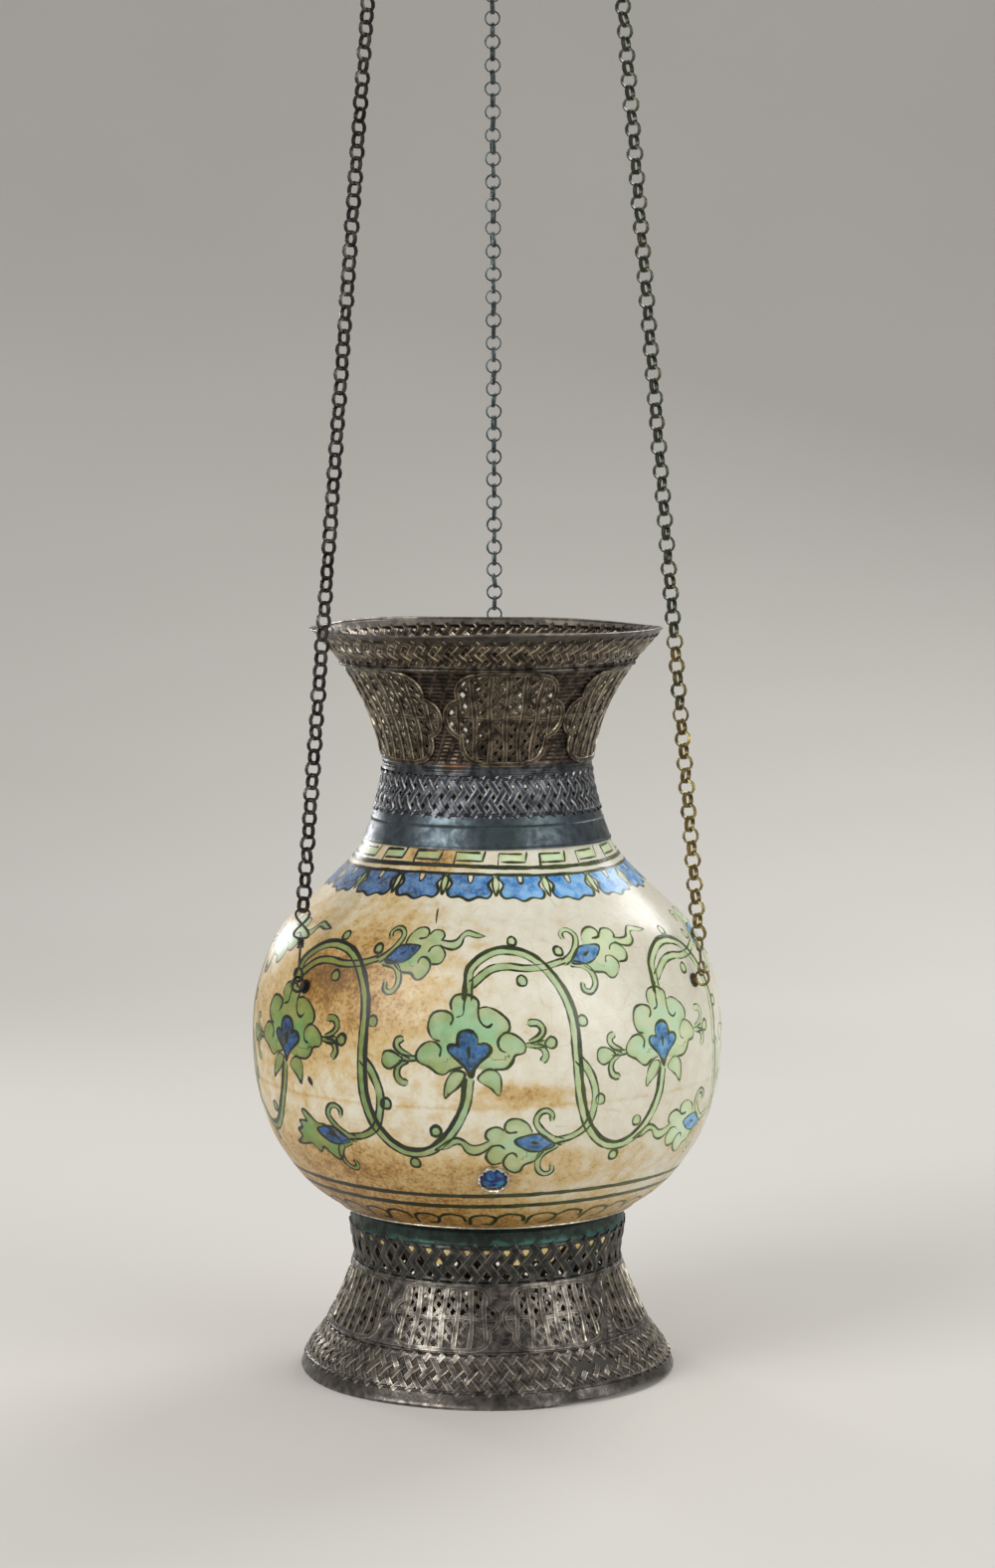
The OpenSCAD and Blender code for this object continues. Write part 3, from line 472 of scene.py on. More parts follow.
def old_metal(name, high, low, patch, rough, patch_mm=14, spread=0.5, pits=0.3, metallic=0.85, worn=True,
              drift=False, arris=None, even=0.06):
    """Hand-worked metal after centuries: bright where it is rubbed, with painted glints on the arrises
    when they are given, dark in the hollows, with drifts of another corrosion and a finely pitted,
    uneven skin."""
    made, node = blank(name)
    at = node("TexCoord", out="Object")
    cloud, mottle, pit = (node("TexNoise", {"Vector": at, "Scale": per(size), "Detail": detail})
                          for size, detail in ((patch_mm, 5), (4, 4), (1.1, 3)))
    rub = node("MapRange", (mottle, 0.38, 0.62, even))
    if worn:
        raised = node("Attribute", out="Fac", attribute_name="worn")
        rub = node("Math", (rub, raised), operation="MULTIPLY")
    layers = [(rub, high)]
    if arris:
        # The sharp edges of a strap or bar are painted pale: rubbed brightest, and a painted glint
        off = node("Math", (node("Attribute", out="Fac", attribute_name="across"),), operation="ABSOLUTE")
        keen = node("MapRange", (off, 0.5, 0.68))
        layers.append((node("Math", (keen, rub), operation="MULTIPLY"), arris))
    if drift:
        tide = node("Attribute", out="Fac", attribute_name="tide")
        cloud = node("Math", (cloud, tide), operation="ADD")
    layers.append((node("MapRange", (cloud, spread, spread + 0.18, 0, 0.85)), patch))
    colour = low
    for share, over in layers:
        colour = node("Mix", {SHARE: share, UNDER: colour, OVER: over}, data_type="RGBA")
    gloss = node("MapRange", (mottle, 0.25, 0.75, rough + 0.15, rough - 0.1))
    bump = node("Bump", {"Height": pit, "Strength": pits, "Distance": 0.4 * MM})
    return finished(made, {"Base Color": colour, "Roughness": gloss, "Normal": bump, "Metallic": metallic})


def paper(colours):
    """Matt seamless studio paper: even, pale, with the faintest cloudiness."""
    made, node = blank("studio_paper")
    cloud = node("TexNoise", {"Vector": node("TexCoord", out="Object"), "Scale": per(400), "Detail": 2})
    shade = node("Mix", {SHARE: cloud, UNDER: colours.floor, OVER: "#e4e1dc"}, data_type="RGBA")
    return finished(made, {"Base Color": shade, "Roughness": 0.85})


def glass(name, body, deep, clear, rough):
    """Old hand-made glass: swirls of a deeper colour, a few seeds, a soft worn polish."""
    made, node = blank(name)
    at = node("TexCoord", out="Object")
    swirl = node("TexNoise", {"Vector": at, "Scale": per(6), "Detail": 1, "Distortion": 0.8})
    seed = node("TexNoise", {"Vector": at, "Scale": per(1.2), "Detail": 1})
    lobe = node("MapRange", (swirl, 0.5, 0.68))
    shade = node("Mix", {SHARE: lobe, UNDER: deep, OVER: body}, data_type="RGBA")
    bump = node("Bump", {"Height": seed, "Strength": 0.12, "Distance": 0.4 * MM})
    return finished(made, {"Base Color": shade, "Normal": bump, "Roughness": rough, "IOR": 1.52,
                           "Transmission Weight": clear})


def fibre(name, light, dark, grain_mm, rough):
    """A dull crumbly or fibrous stuff, such as lime plaster or a cotton wick."""
    made, node = blank(name)
    grain = node("TexNoise", {"Vector": node("TexCoord", out="Object"), "Scale": per(grain_mm), "Detail": 6})
    shade = node("Mix", {SHARE: grain, UNDER: dark, OVER: light}, data_type="RGBA")
    bump = node("Bump", {"Height": grain, "Strength": 0.5, "Distance": 0.5 * MM})
    return finished(made, {"Base Color": shade, "Normal": bump, "Roughness": rough})


FINISHES = {}


def finishes(colours):
    """Every metal, glass and filling of the lamp, made once."""
    if not FINISHES:
        gilt, black = "#6f5730", "#1a1715"
        FINISHES.update({
            # Pierced bands: brown, grey or black in the hollows, with pale arrises that are rubbed and carry
            # painted glints
            "aged_silver": old_metal("tarnished_silver", "#62554a", colours.tarnish, gilt, 0.32, 16, 0.66,
                                     0.4, arris="#d2c4a6", even=0.16),
            "grey_silver": old_metal("sulphide_grey_silver", "#505357", "#0c0d10", colours.steel, 0.36,
                                     spread=0.64, arris="#a6a8ab", even=0.3),
            "dark_bronze": old_metal("blackened_silver", "#736d68", "#0a0908", "#2c2724", 0.32, spread=0.66,
                                     arris="#d0c6b0", even=0.24),
            # The foot's upper plait is darker and bluer: painted shade under the globe's bulge
            "shaded_bronze": old_metal("blue_black_silver", "#474849", "#0c0b0a", "#20302d", 0.36,
                                       spread=0.56, arris="#7f7663", even=0.3),
            # Rims and edges: paler and smoother, from handling
            "worn_silver": old_metal("rubbed_silver", "#b9b1a5", "#332e29", "#5b5347", 0.34, spread=0.6,
                                     even=0.4),
            "foot_lip": old_metal("rubbed_foot_silver", "#99928a", "#201d1a", "#2a2623", 0.32, spread=0.58,
                                  even=0.35),
            "bright_silver": old_metal("burnished_silver", "#e2dccb", "#a59c86", "#8c7c58", 0.25, spread=0.6,
                                       worn=False),
            "dark_rim": old_metal("rubbed_black_silver", "#7d7872", "#302c29", "#45403a", 0.36, worn=False),
            "brown_silver": old_metal("brown_silver", "#6a625a", colours.tarnish, gilt, 0.42, spread=0.62,
                                      worn=False),
            # Plain collars: a blue-grey bloom, rust stains, and a green crust
            "blue_silver": old_metal("blue_grey_silver", "#566066", "#2f383d", "#43514c", 0.36, 26, 0.56, 0.2,
                                     worn=False, even=0.3),
            "stained_silver": old_metal("rust_stained_silver", "#55575a", "#242628", "#6b4a2c", 0.42, 7, 0.6,
                                        worn=False, drift=True),
            "verdigris": old_metal("verdigris_crust", "#26352e", "#121c18", colours.verdigris, 0.46, 6, 0.5,
                                   0.5, 0.5, worn=False, drift=True),
            # Wire and chains: dull iron, brass that darkens upwards, and grey links with a patch of rust
            "iron": old_metal("dark_iron_wire", "#5f5b57", colours.iron, black, 0.45, worn=False),
            "brass": old_metal("old_brass_wire", "#a8945a", "#574b2c", "#4a4a33", 0.38, worn=False),
            "left_chain": old_metal("dark_iron_links", "#6d6964", "#2b2825", black, 0.42, 30),
            "right_chain": old_metal("old_brass_links", "#b3a068", "#5d5030", "#3b4540", 0.38, 30,
                                     drift=True),
            "rear_chain": old_metal("verdigris_links", "#7d8788", "#353f3f", "#6b4228", 0.5, 30, drift=True),
            # Fillings and glass: crumbly plaster, charred cotton, a deep blue stud and a thin greenish cup
            "plaster": fibre("lime_plaster", "#d8cdb8", "#a6957a", 2.5, 0.9),
            # The bedding's plaster is pale gold: partly its resin stain, partly painted light where it shows
            # through the holes
            "gold_plaster": fibre("resin_stained_plaster", "#f0e0ac", "#b99b55", 3, 0.7),
            "cotton": fibre("cotton_wick", "#d9cfbb", "#5b5145", 0.8, 0.95),
            "blue_glass": glass("blue_stud_glass", "#2a86b4", "#0a1c63", 0.1, 0.06),
            "clear_glass": glass("greenish_cup_glass", "#dfe9de", "#cfdccb", 0.92, 0.08),
        })
    return FINISHES


# First match wins, from the finest piece to the coarsest
FITTINGS = (("stud_glass", "blue_glass"), ("bedding", "plaster"),
            ("oil_cup", "clear_glass"), ("wick_holder", "brass"), ("wick", "cotton"), ("cradle", "brass"),
            ("foot_upper_wire", "dark_rim"), ("foot_lower_wire", "dark_rim"), ("neck_wires", "brown_silver"),
            ("crown", "brown_silver"), ("right_", "brass"), ("left_", "iron"), ("rear_", "iron"),
            ("hanger", "iron"), ("swivel", "iron"), ("eye_washers", "iron"), ("clinch", "iron"),
            ("", "dark_rim"))

# Thickness of the silver sheet
SHEET_T = 1.2
# Half width and half thickness of the strips along a plait's edges
RAIL_W, RAIL_T = 1.0, 0.75
# Steps round a turned rim, collar or bedding
STEPS_ROUND = 240
# How far the foot's collar is burnished up over the bottom of the globe
LIP_RISE = 3.4
# How far the globe's bedding comes down behind the foot's upper plait
BEDDING_DROP = 9
# How far the mouth's plain rim comes down over the plait
RIM_LAP = 0.8
# Uprights in a panel, how far apart its tendrils are, and half the width of its edge
UPRIGHTS, TENDRIL_STEP, EDGE_HALF = 7, 4.6, 1.3
# Bars of a panel: half thickness, and how far the middle lies off the outline
EDGE_BAR, UPRIGHT_BAR, CROSS_BAR, TENDRIL_BAR = (0.85, -0.05), (0.7, -0.25), (0.6, -0.3), (0.5, -0.75)
# The ground between panels: how far it and its punched rows lie off the outline, and its thickness
GROUND_LIFT, PUNCHED_LIFT, GROUND_T = -0.35, -0.75, 0.8
# A link's section: how far each corner lies from the middle of the hole and to the side, and how
# rubbed it is
LINK_REACH = (3.8, 3.5, 3.8, 3.08, 3.08, 3.8, 3.5)
LINK_RISE = (0, 0.36, 0.82, 0.98, -0.98, -0.82, -0.36)
LINK_WORN = (1, 0.2, 1, 0.3, 0.3, 1, 0.2)
# How far a hand-wound link leans and is pulled out of round, as shares
LINK_LEAN, LINK_STRETCH = 0.07, 0.02
# Heights on the chains: where the right one's brass darkens and over how much, and the middle and
# half height of the rear one's patch of rust
BRASS_H, BRASS_FADE, RUST_H, RUST_HALF = 300, 110, 452, 9
# The stud's setting: half its width, and how far its middle lies off the glaze
SETTING_HALF, SETTING_LIFT = 0.7, 0.8
# The left hook: radius of its wire, of the loop in the eye, and the size of its figure of eight
HOOK_WIRE, HOOK_LOOP, HOOK_EIGHT, HOOK_WIDE = 0.55, 3, 13, 3.3
# Its wrapped stem: turns of wire, and how far they go down for each radian
WRAP_TURNS, WRAP_PITCH = 3, 0.19

# The paper in m: its width, how far its middle lies behind the lamp, how its back edge is raised
# and moved back, and the width and segments of the sweep between
PAPER, PAPER_BACK, PAPER_RISE, SWEEP, SWEEP_CUTS = 6, 0.6, (0, 0.3, 3.4), 2.4, 32
# What the lights are aimed at, in m above the foot, and each light's place from there, its width
# in m, its power in W and its spread in degrees
AIM_H = 0.3
LIGHTS = (("key_light", (-1.6, -1.5, 1.1), 1.4, 15.8, 120), ("fill_light", (1.9, -1.3, 0.6), 1.6, 10.2, 120),
          ("back_light", (0.9, 1.4, 1.2), 1.0, 16, 180), ("strip_light", (-0.9, 1.35, 0.2), 0.3, 0.7, 70))
ROOM_LIGHT = 0.4
# The camera, from the photograph's perspective: image height and focal length in pixels, the
# lens shift, and the eye's place in mm from the lamp's axis and foot, with its downward tilt
IMAGE_H, FOCUS_PX, LIFT_PX, SENSOR = 1576, 3738.7, 100, 36
EYE_X, EYE_AWAY, EYE_H, EYE_DOWN = 4.7, 1690, 431, 3.983


# Painting

# A distance out of reach of any paint
FAR = 9.0
# The lotuses: how many go round, the first one's bearing, and the height of the foot of the heart
LOTUS_REPEATS, LOTUS_AT, LOTUS_H = 7, -4.3, 151
# The radius that the vine is drawn at
PAINT_R = 104
# How far past its end a brush line still runs out
RUN_OUT = 1.5


def smooth_line(points, closed=False, cuts=6):
    """A finer line through listed points, rounded from each to the next."""
    p = np.array(points, float)
    ahead = np.vstack([p[1:], p[:1] if closed else 2 * p[-1:] - p[-2:-1]])
    behind = np.vstack([p[-1:] if closed else 2 * p[:1] - p[1:2], p[:-1]])
    last = len(p) if closed else len(p) - 1
    far_ahead = np.vstack([ahead[1:], ahead[:1] if closed else ahead[-1:]])
    out = []
    for i in range(last):
        for t in np.arange(cuts) / cuts:
            a, b, c, d = behind[i], p[i], ahead[i], far_ahead[i]
            out.append(b + 0.5 * t * (c - a + t * (2 * a - 5 * b + 4 * c - d + t * (3 * (b - c) + d - a))))
    return np.array(out if closed else out + [p[-1]])


def beside(at, line):
    """Where points lie beside a drawn line: how far to its left, how far along it as a share,
    and how far past its ends."""
    best, left, along, past = np.full(len(at), 1e9), *(np.zeros(len(at)) for _ in range(3))
    last = len(line) - 2
    for i in range(last + 1):
        step = line[i + 1] - line[i]
        run = max(np.linalg.norm(step), 1e-6)
        step = step / run
        t = (at - line[i]) @ step
        on = np.clip(t, -RUN_OUT if i == 0 else 0, run + RUN_OUT if i == last else run)
        off = at - line[i] - on[:, None] * step
        over = np.maximum(np.maximum(-on, on - run), 0)
        far = np.linalg.norm(off, axis=1)
        near = far + over < best
        best[near] = (far + over)[near]
        left[near] = (np.where(step[0] * off[:, 1] < step[1] * off[:, 0], -far, far))[near]
        along[near] = (i + np.clip(t[near] / run, 0, 1)) / (last + 1)
        past[near] = over[near]
    return left, along, past


def is_inside(at, ring):
    """Whether points lie inside a closed line."""
    odd = np.zeros(len(at), bool)
    for (ax, ay), (bx, by) in zip(ring, np.roll(ring, -1, axis=0)):
        if ay != by:
            crosses = (ay > at[:, 1]) != (by > at[:, 1])
            odd ^= crosses & (at[:, 0] < ax + (at[:, 1] - ay) * (bx - ax) / (by - ay))
    return odd


def surface_run(samples):
    """Heights up the globe, and how far each lies along its surface."""
    h = np.linspace(GLOBE_LINE[0][0], GLOBE_LINE[-1][0], samples)
    return h, np.concatenate([[0], np.cumsum(np.hypot(np.diff(h), np.diff(curve_radius(GLOBE_LINE, h))))])


def from_edge(at, ring):
    """Distance of points from a closed line, negative inside it."""
    return np.where(is_inside(at, ring), -1, 1) * np.abs(beside(at, np.vstack([ring, ring[:1]]))[0])


def taper(half, tip, along):
    """Half width along a stroke that narrows or widens to its tip."""
    return half + along * ((half if tip is None else tip) - half)


class Brush:
    """Draws on the unrolled globe, in mm round it and up its surface.

    Fills keep every vertex's distance from their edge, negative inside. Ink keeps, on every
    face, the side distance and half width of its two nearest lines, so that a brush line finer
    than the mesh stays sharp."""

    def __init__(self, bearing, h, corners, sizes):
        up, run = surface_run(400)
        self.arc_of = lambda z: np.interp(z, up, run)
        # A slow drift of the hand keeps the repeats from being exact copies
        drift = 0.7 * np.sin(2.3 * bearing + h / 31) + 0.4 * np.sin(5 * bearing - h / 17)
        self.bearing = np.degrees(bearing) + drift
        self.arc = self.arc_of(h) + 0.8 * np.sin(3.1 * bearing + h / 40)
        self.line, self.vine = sizes.brush / MM, sizes.vine / MM
        self.corners, self.spot = corners, np.empty(len(h), int)
        self.leaf, self.cobalt = (np.full(len(h), FAR) for _ in range(2))
        self.rank = np.full((2, len(corners)), FAR)
        self.off = np.full((2, len(corners), 4), FAR)
        self.half = np.zeros((2, len(corners), 4))

    def repeat(self, times, first, radius, only=None):
        """Sets how often the next strokes go round, the first one's bearing, and which to draw."""
        self.times, self.first, self.radius, self.only = times, first, radius, only or range(times)

    def flat(self, points):
        """Degrees and heights as mm on the unrolled surface."""
        p = np.array(points, float)
        return np.stack([np.radians(p[:, 0]) * self.radius, self.arc_of(p[:, 1])], -1)

    def motif(self, points, degrees, h, flip=1, turn=0):
        """A motif's own points in mm at a place on the unrolled surface, mirrored and turned."""
        c, s = math.cos(math.radians(turn)), math.sin(math.radians(turn))
        turned_by = np.array(((c, s), (-s, c)))
        return np.array(points) * (flip, 1) @ turned_by + self.flat([(degrees, h)])

    def near(self, drawn, reach):
        """The vertices around a drawn line and their unrolled places, for each of its repeats."""
        low, high = drawn.min(0) - reach, drawn.max(0) + reach
        for k in self.only:
            turn = (self.bearing - self.first - 360 * k / self.times + 180) % 360 - 180
            at = np.stack([np.radians(turn) * self.radius, self.arc], -1)
            chosen = np.flatnonzero(np.all((at > low) & (at < high), axis=1))
            yield chosen, at[chosen]

    def ink(self, chosen, off, half):
        """Offers a line to every face that it comes near, which keeps its two nearest."""
        self.spot[:] = -1
        self.spot[chosen] = np.arange(len(chosen))
        spots = self.spot[self.corners]
        faces = np.flatnonzero(np.all(spots >= 0, axis=1))
        off, half = off[spots[faces]], half[spots[faces]]
        rank = np.mean(np.abs(off) - half, axis=1)
        for slot in (0, 1):
            better = rank < self.rank[slot, faces]
            mine = faces[better]
            for kept, new in ((self.rank, rank), (self.off, off), (self.half, half)):
                kept[slot, mine], new[better] = new[better], kept[slot, mine]

    def stroke(self, drawn, half=None, tip=None):
        """One brush line, from full width to the width at its tip, running out at both ends."""
        half = half or self.line
        drawn = smooth_line(drawn)
        for chosen, at in self.near(drawn, half + 2.5):
            left, along, past = beside(at, drawn)
            self.ink(chosen, left, taper(half, tip, along) - past)

    def stem(self, drawn, half=None, tip=None, heavy=1.0):
        """A green stem between two brush lines, the left one heavier or lighter."""
        half = half or self.vine
        drawn = smooth_line(drawn)
        for chosen, at in self.near(drawn, half + 2.5):
            left, along, past = beside(at, drawn)
            wide = taper(half, tip, along)
            self.leaf[chosen] = np.minimum(self.leaf[chosen], np.abs(left) + past - wide - 0.2)
            self.ink(chosen, left - wide, heavy * self.line - past)
            self.ink(chosen, left + wide, 0.85 * self.line - past)

    def fill(self, drawn, into, outline=None, rounded=True):
        """A closed shape of leaf or cobalt with a brush line round it."""
        outline = self.line if outline is None else outline
        ring = smooth_line(drawn, closed=True, cuts=5) if rounded else drawn
        field = getattr(self, into)
        for chosen, at in self.near(ring, 4):
            signed = from_edge(at, ring)
            field[chosen] = np.minimum(field[chosen], signed)
            if outline:
                self.ink(chosen, signed, np.full(len(chosen), float(outline)))

    def leaf_of(self, lobes, *place):
        """A leaf of lobes: each lobe is one brush line with a curl at an end, and all are filled."""
        ring = []
        for first, last, points in lobes:
            self.stroke(self.motif(points, *place), half=0.9 * self.line, tip=1.1 * self.line)
            ring += points[first:len(points) - last]
        self.fill(self.motif(ring, *place), "leaf", outline=0)


# The vine, drawn as (degrees from a lotus, height) points
ARCH = ((-0.2, 184), (0, 191), (0.6, 196.5), (4.3, 201.5), (9, 203.8), (15, 202.4), (19.4, 197.5), (23, 188),
        (24.7, 177), (25, 160), (25.6, 146), (26.8, 136), (29, 127), (32.6, 120), (37, 117), (42, 119),
        (46.5, 126.5), (49.8, 138), (51, 150))
FLOWER_STALK = ((0.8, 190), (5.5, 196), (10, 197.4), (15, 196.6), (20, 197.2), (25.5, 199.6))
BUD_STALK = ((25.2, 158), (28, 152.5), (30, 144), (30, 136), (28.6, 128), (25, 123.5), (20.5, 122))
KNOPS = ((12, 207.6), (13.6, 191.5), (27.2, 174), (31.6, 139), (43, 127.6), (37.4, 112.6), (24.6, 203.5))

# The lotus, in mm from the foot of its heart. A lobe starts with the number of its points that
# are a curl before its edge and after it
LOTUS_LOBES = (
    (0, 2, ((-3.6, 4.5), (-8.3, 3.1), (-11, 1.3), (-13.7, 1.8), (-17.1, 4.5), (-20.5, 5.9), (-22.5, 7.8),
            (-22.2, 11.2), (-19.1, 14.6), (-15.1, 15.3), (-12.1, 12.6), (-12.6, 9.2))),
    (0, 2, ((-12.4, 15.6), (-15.7, 16.6), (-17.8, 21.3), (-16.4, 26.7), (-12.4, 28.4), (-8, 27.4), (-6.8, 25),
            (-7.8, 22.8))),
    (0, 3, ((-7.6, 28.7), (-8, 32.1), (-6.3, 34.9), (-2.9, 35.6), (1.1, 35), (4.5, 32.5), (4.2, 27.4),
            (5.2, 23.3), (7.9, 21.3), (9.6, 22.4))),
    (0, 0, ((4.4, 29.4), (8.1, 30.1), (12.8, 28.1), (16.9, 24), (16.9, 19.9), (14.2, 18.7))),
    (3, 0, ((14.8, 10.6), (12.5, 11.7), (11.8, 15.3), (14.2, 18.4), (17.6, 18.7), (21.6, 16), (23.3, 12.9),
            (22, 9.9), (18.6, 9.2), (16.9, 5.9), (14.2, 3.5), (9.5, 3.2))))
LOTUS_HEART = ((0, 0), (-2.4, 4.6), (-6.8, 8.8), (-9, 11.2), (-8.8, 13.4), (-6.6, 14.2), (-4.5, 13.2),
               (-5.2, 15.8), (-4.5, 18.6), (-2.1, 20.1), (0.7, 20), (2.9, 18.2), (3.5, 15.8), (2.8, 13.4),
               (5, 14.5), (7.4, 14.2), (8.7, 12.2), (7.6, 9.8), (3.8, 6.4), (1.4, 3.4))
LOTUS_STEM = ((-0.9, 38), (-2, 31), (-2.4, 26.8), (-5, 25.7))
SEPALS = (((-2.9, 2.5), (-7, 2.8), (-10.3, -1.6), (-11.4, -9), (-9, -7), (-4.9, -3.6), (-2.6, 0.4)),
          ((2.5, -0.3), (5.9, 3.1), (9.5, 3.1), (12.1, -0.3), (11.4, -8.4), (8.1, -5), (4, -2.3)))
SPRIG_LEAVES = (((-38, 7.8), (-36.8, 10.6), (-33.4, 10.8), (-30, 9), (-28.4, 7.4), (-31, 5), (-34.7, 3.2),
                 (-37.4, 5)),
                ((31.4, 13.6), (34, 16.8), (36.4, 15.6), (36.2, 12.6), (34, 11.6)))
SPRIGS = (((-22.6, 8.2), (-26, 8), (-30, 8.4)),
          ((-25, 8.8), (-29, 10.8), (-31.4, 13), (-31.2, 15.4), (-29.6, 16)),
          ((-26.4, 7), (-29.8, 5), (-31, 1.8), (-30, -1.4), (-27.4, -2.6)),
          ((23.2, 13.4), (27, 13.4), (31, 13.8)),
          ((25, 14.6), (29.6, 17), (31.2, 20), (29.4, 22.8), (26, 23)),
          ((26, 13), (30, 12.2), (31.6, 9), (30.4, 6.6)))

# A flower in profile, in mm from the middle of its bud and pointing right
FLOWER_LOBES = (
    (0, 2, ((0.6, 5), (2, 9.7), (5.7, 13.3), (10.1, 13.7), (12.3, 11.1), (11.2, 8.2), (7.4, 7.5))),
    (0, 0, ((12.7, 9.7), (15.2, 12.2), (19.6, 11.8), (21.1, 8.9), (20, 6.7))),
    (0, 0, ((20, 6.7), (24, 6), (27.7, 6.7), (30.6, 10), (33.6, 11.8), (37.3, 10.8), (43.7, 8.2))),
    (0, 0, ((43.7, 8.2), (38.7, 7.6), (34.3, 8.7), (32.1, 8), (30.6, 3.8), (27, 1.6), (22.5, 2.3),
            (18.9, 4.2))),
    (2, 0, ((13.8, 0.8), (15.2, 3), (18.9, 3.8), (22.2, 0.8), (22.5, -2.1), (20.4, -5.1), (16.4, -5.4))),
    (3, 0, ((9, -4.8), (10.1, -2.1), (13.1, -2.1), (15.6, -5.1), (14.9, -8.7), (11.6, -12), (8.6, -12),
            (6.4, -9.4), (1.3, -8.7), (-3.1, -5.1))))
# The same with jagged leaves, as some of the lower flowers have
JAGGED_LEAF = ((2, 4.4), (7, 6.4), (10.4, 10), (14, 13.6), (16, 12.6), (14.6, 8), (17.4, 8.6), (20.4, 8.4),
               (20, 5.4), (24.6, 4.4), (22.8, 1.6), (25.4, 0), (29.6, -1.6), (24.4, -2.8), (18, -2.8),
               (16, -5), (13.4, -7.6), (9.6, -5.2), (6.4, -9.6), (2.6, -12.4), (-1.6, -9), (-4, -4.8))
JAGGED_AT = (3, 6)
FLOWER_BUD = ((-8.4, -4), (-5.6, 0.6), (-2.2, 3.6), (2.6, 4.5), (9, 3.6), (6.2, -0.8), (2.4, -3.6),
              (-2, -4.8))
TENDRILS = (((-12, -3.4), (-6.9, 0.2), (-3.2, 5.1), (-1.6, 9.7), (-3.7, 12.9), (-6.9, 13.3), (-9.2, 11),
             (-8.7, 8.7)),
            ((-9, -4), (-2.5, -6), (0.2, -10), (0.1, -14.5), (-2.8, -17.5), (-5.8, -16.5), (-6, -13.6)))
# Where the flowers in profile stand: degrees from a lotus, height, facing and turn
UPPER_FLOWER, LOWER_FLOWER = (32, 202, 1, 2), (15.6, 121.5, -1, 14)
KNOP = ((-1.7, -2), (-2.1, 1), (0, 2.6), (2.1, 1), (1.7, -2))


def draw_vine(brush):
    """Seven lotuses on a running vine, with flowers in profile above and below it."""
    brush.repeat(LOTUS_REPEATS, LOTUS_AT, PAINT_R)
    brush.stem(brush.flat(ARCH), heavy=2.0)
    brush.stem(brush.flat(FLOWER_STALK), tip=1.3)
    brush.stem(brush.flat(BUD_STALK), tip=1.3)
    lotus = (0, LOTUS_H)
    brush.leaf_of(LOTUS_LOBES, *lotus)
    brush.stroke(brush.motif(LOTUS_STEM, *lotus))
    for sepal in SEPALS:
        brush.fill(brush.motif(sepal, *lotus), "leaf", outline=0.75 * brush.line)
    brush.fill(brush.motif(LOTUS_HEART, *lotus), "cobalt", outline=1.25 * brush.line)
    brush.stroke(brush.motif(((-0.5, 12.4), (-0.4, 8.4)), *lotus), half=1.3, tip=0.5)
    for leaf in SPRIG_LEAVES:
        brush.fill(brush.motif(leaf, *lotus), "leaf")
    for sprig in SPRIGS:
        brush.stem(brush.motif(sprig, *lotus), half=0.9, tip=1.5)
    for degrees, h in KNOPS:
        brush.fill(brush.motif(KNOP, degrees, h), "leaf", outline=1.1 * brush.line)
    rounded = [k for k in range(LOTUS_REPEATS) if k not in JAGGED_AT]
    for flower, only in ((UPPER_FLOWER, None), (LOWER_FLOWER, rounded), (LOWER_FLOWER, JAGGED_AT)):
        brush.repeat(LOTUS_REPEATS, LOTUS_AT, PAINT_R, only)
        for tendril in TENDRILS:
            brush.stem(brush.motif(tendril, *flower), half=1.5, tip=0.9)
        if only is JAGGED_AT:
            brush.fill(brush.motif(JAGGED_LEAF, *flower), "leaf")
        else:
            brush.leaf_of(FLOWER_LOBES, *flower)
        brush.fill(brush.motif(FLOWER_BUD, *flower), "cobalt")
        brush.stroke(brush.motif(((-0.6, -0.4), (1.8, 0.8)), *flower), half=1.0, tip=0.5)


# How often the fret, the lappets and the cloud scroll go round, the first one's bearing, and the
# radius they are drawn at
FRETS, LAPPETS, CLOUDS = (19, -7.5, 58.5), (18, -6.2, 69), (19, 3, 74)
FRET_BAND = 238.9, 242.4
# Ruled lines: height and half width
RULED = ((236.7, 1.15), (233.6, 0.85), (96.6, 1.25), (91, 1.45))


def draw_shoulder(brush):
    """Fret and blue lappets between ruled lines, under the neck's collar."""
    brush.repeat(*FRETS)
    low, high = FRET_BAND
    block = brush.flat(((-5.6, low), (5.6, low), (6, high), (-5.2, high)))
    brush.fill(block, "leaf", outline=0, rounded=False)
    for corners in (((-6.4, 237.4), (-5.8, high), (4.6, high)), ((-5.2, low), (5.8, low), (7.2, high + 0.8))):
        for a, b in zip(corners, corners[1:]):
            brush.stroke(brush.flat((a, b)), half=1.05 * brush.line)
    brush.repeat(*LAPPETS)
    lappet = brush.flat(((-8.3, 233.4), (-7, 229.6), (-8.4, 226.6), (-6.8, 224.2), (-3.4, 224.6), (0, 223.2),
                         (3.4, 224.6), (6.8, 224.2), (8.4, 226.6), (7, 229.6), (8.3, 233.4)))
    brush.fill(lappet, "cobalt", outline=1.3 * brush.line)
    brush.fill(brush.flat(((10, 233), (8.7, 230), (10, 225), (11.3, 230))), "leaf")
    # Keyholes of bare glaze cut the lappets' tops
    drop = brush.flat(((-0.9, 233.6), (-1, 231.4), (0, 229.8), (1, 231.4), (0.9, 233.6)))
    drop = smooth_line(drop, closed=True)
    for chosen, at in brush.near(drop, 3):
        signed = from_edge(at, drop)
        brush.cobalt[chosen] = np.maximum(brush.cobalt[chosen], -signed)
        brush.ink(chosen, signed, np.full(len(chosen), 0.8 * brush.line))


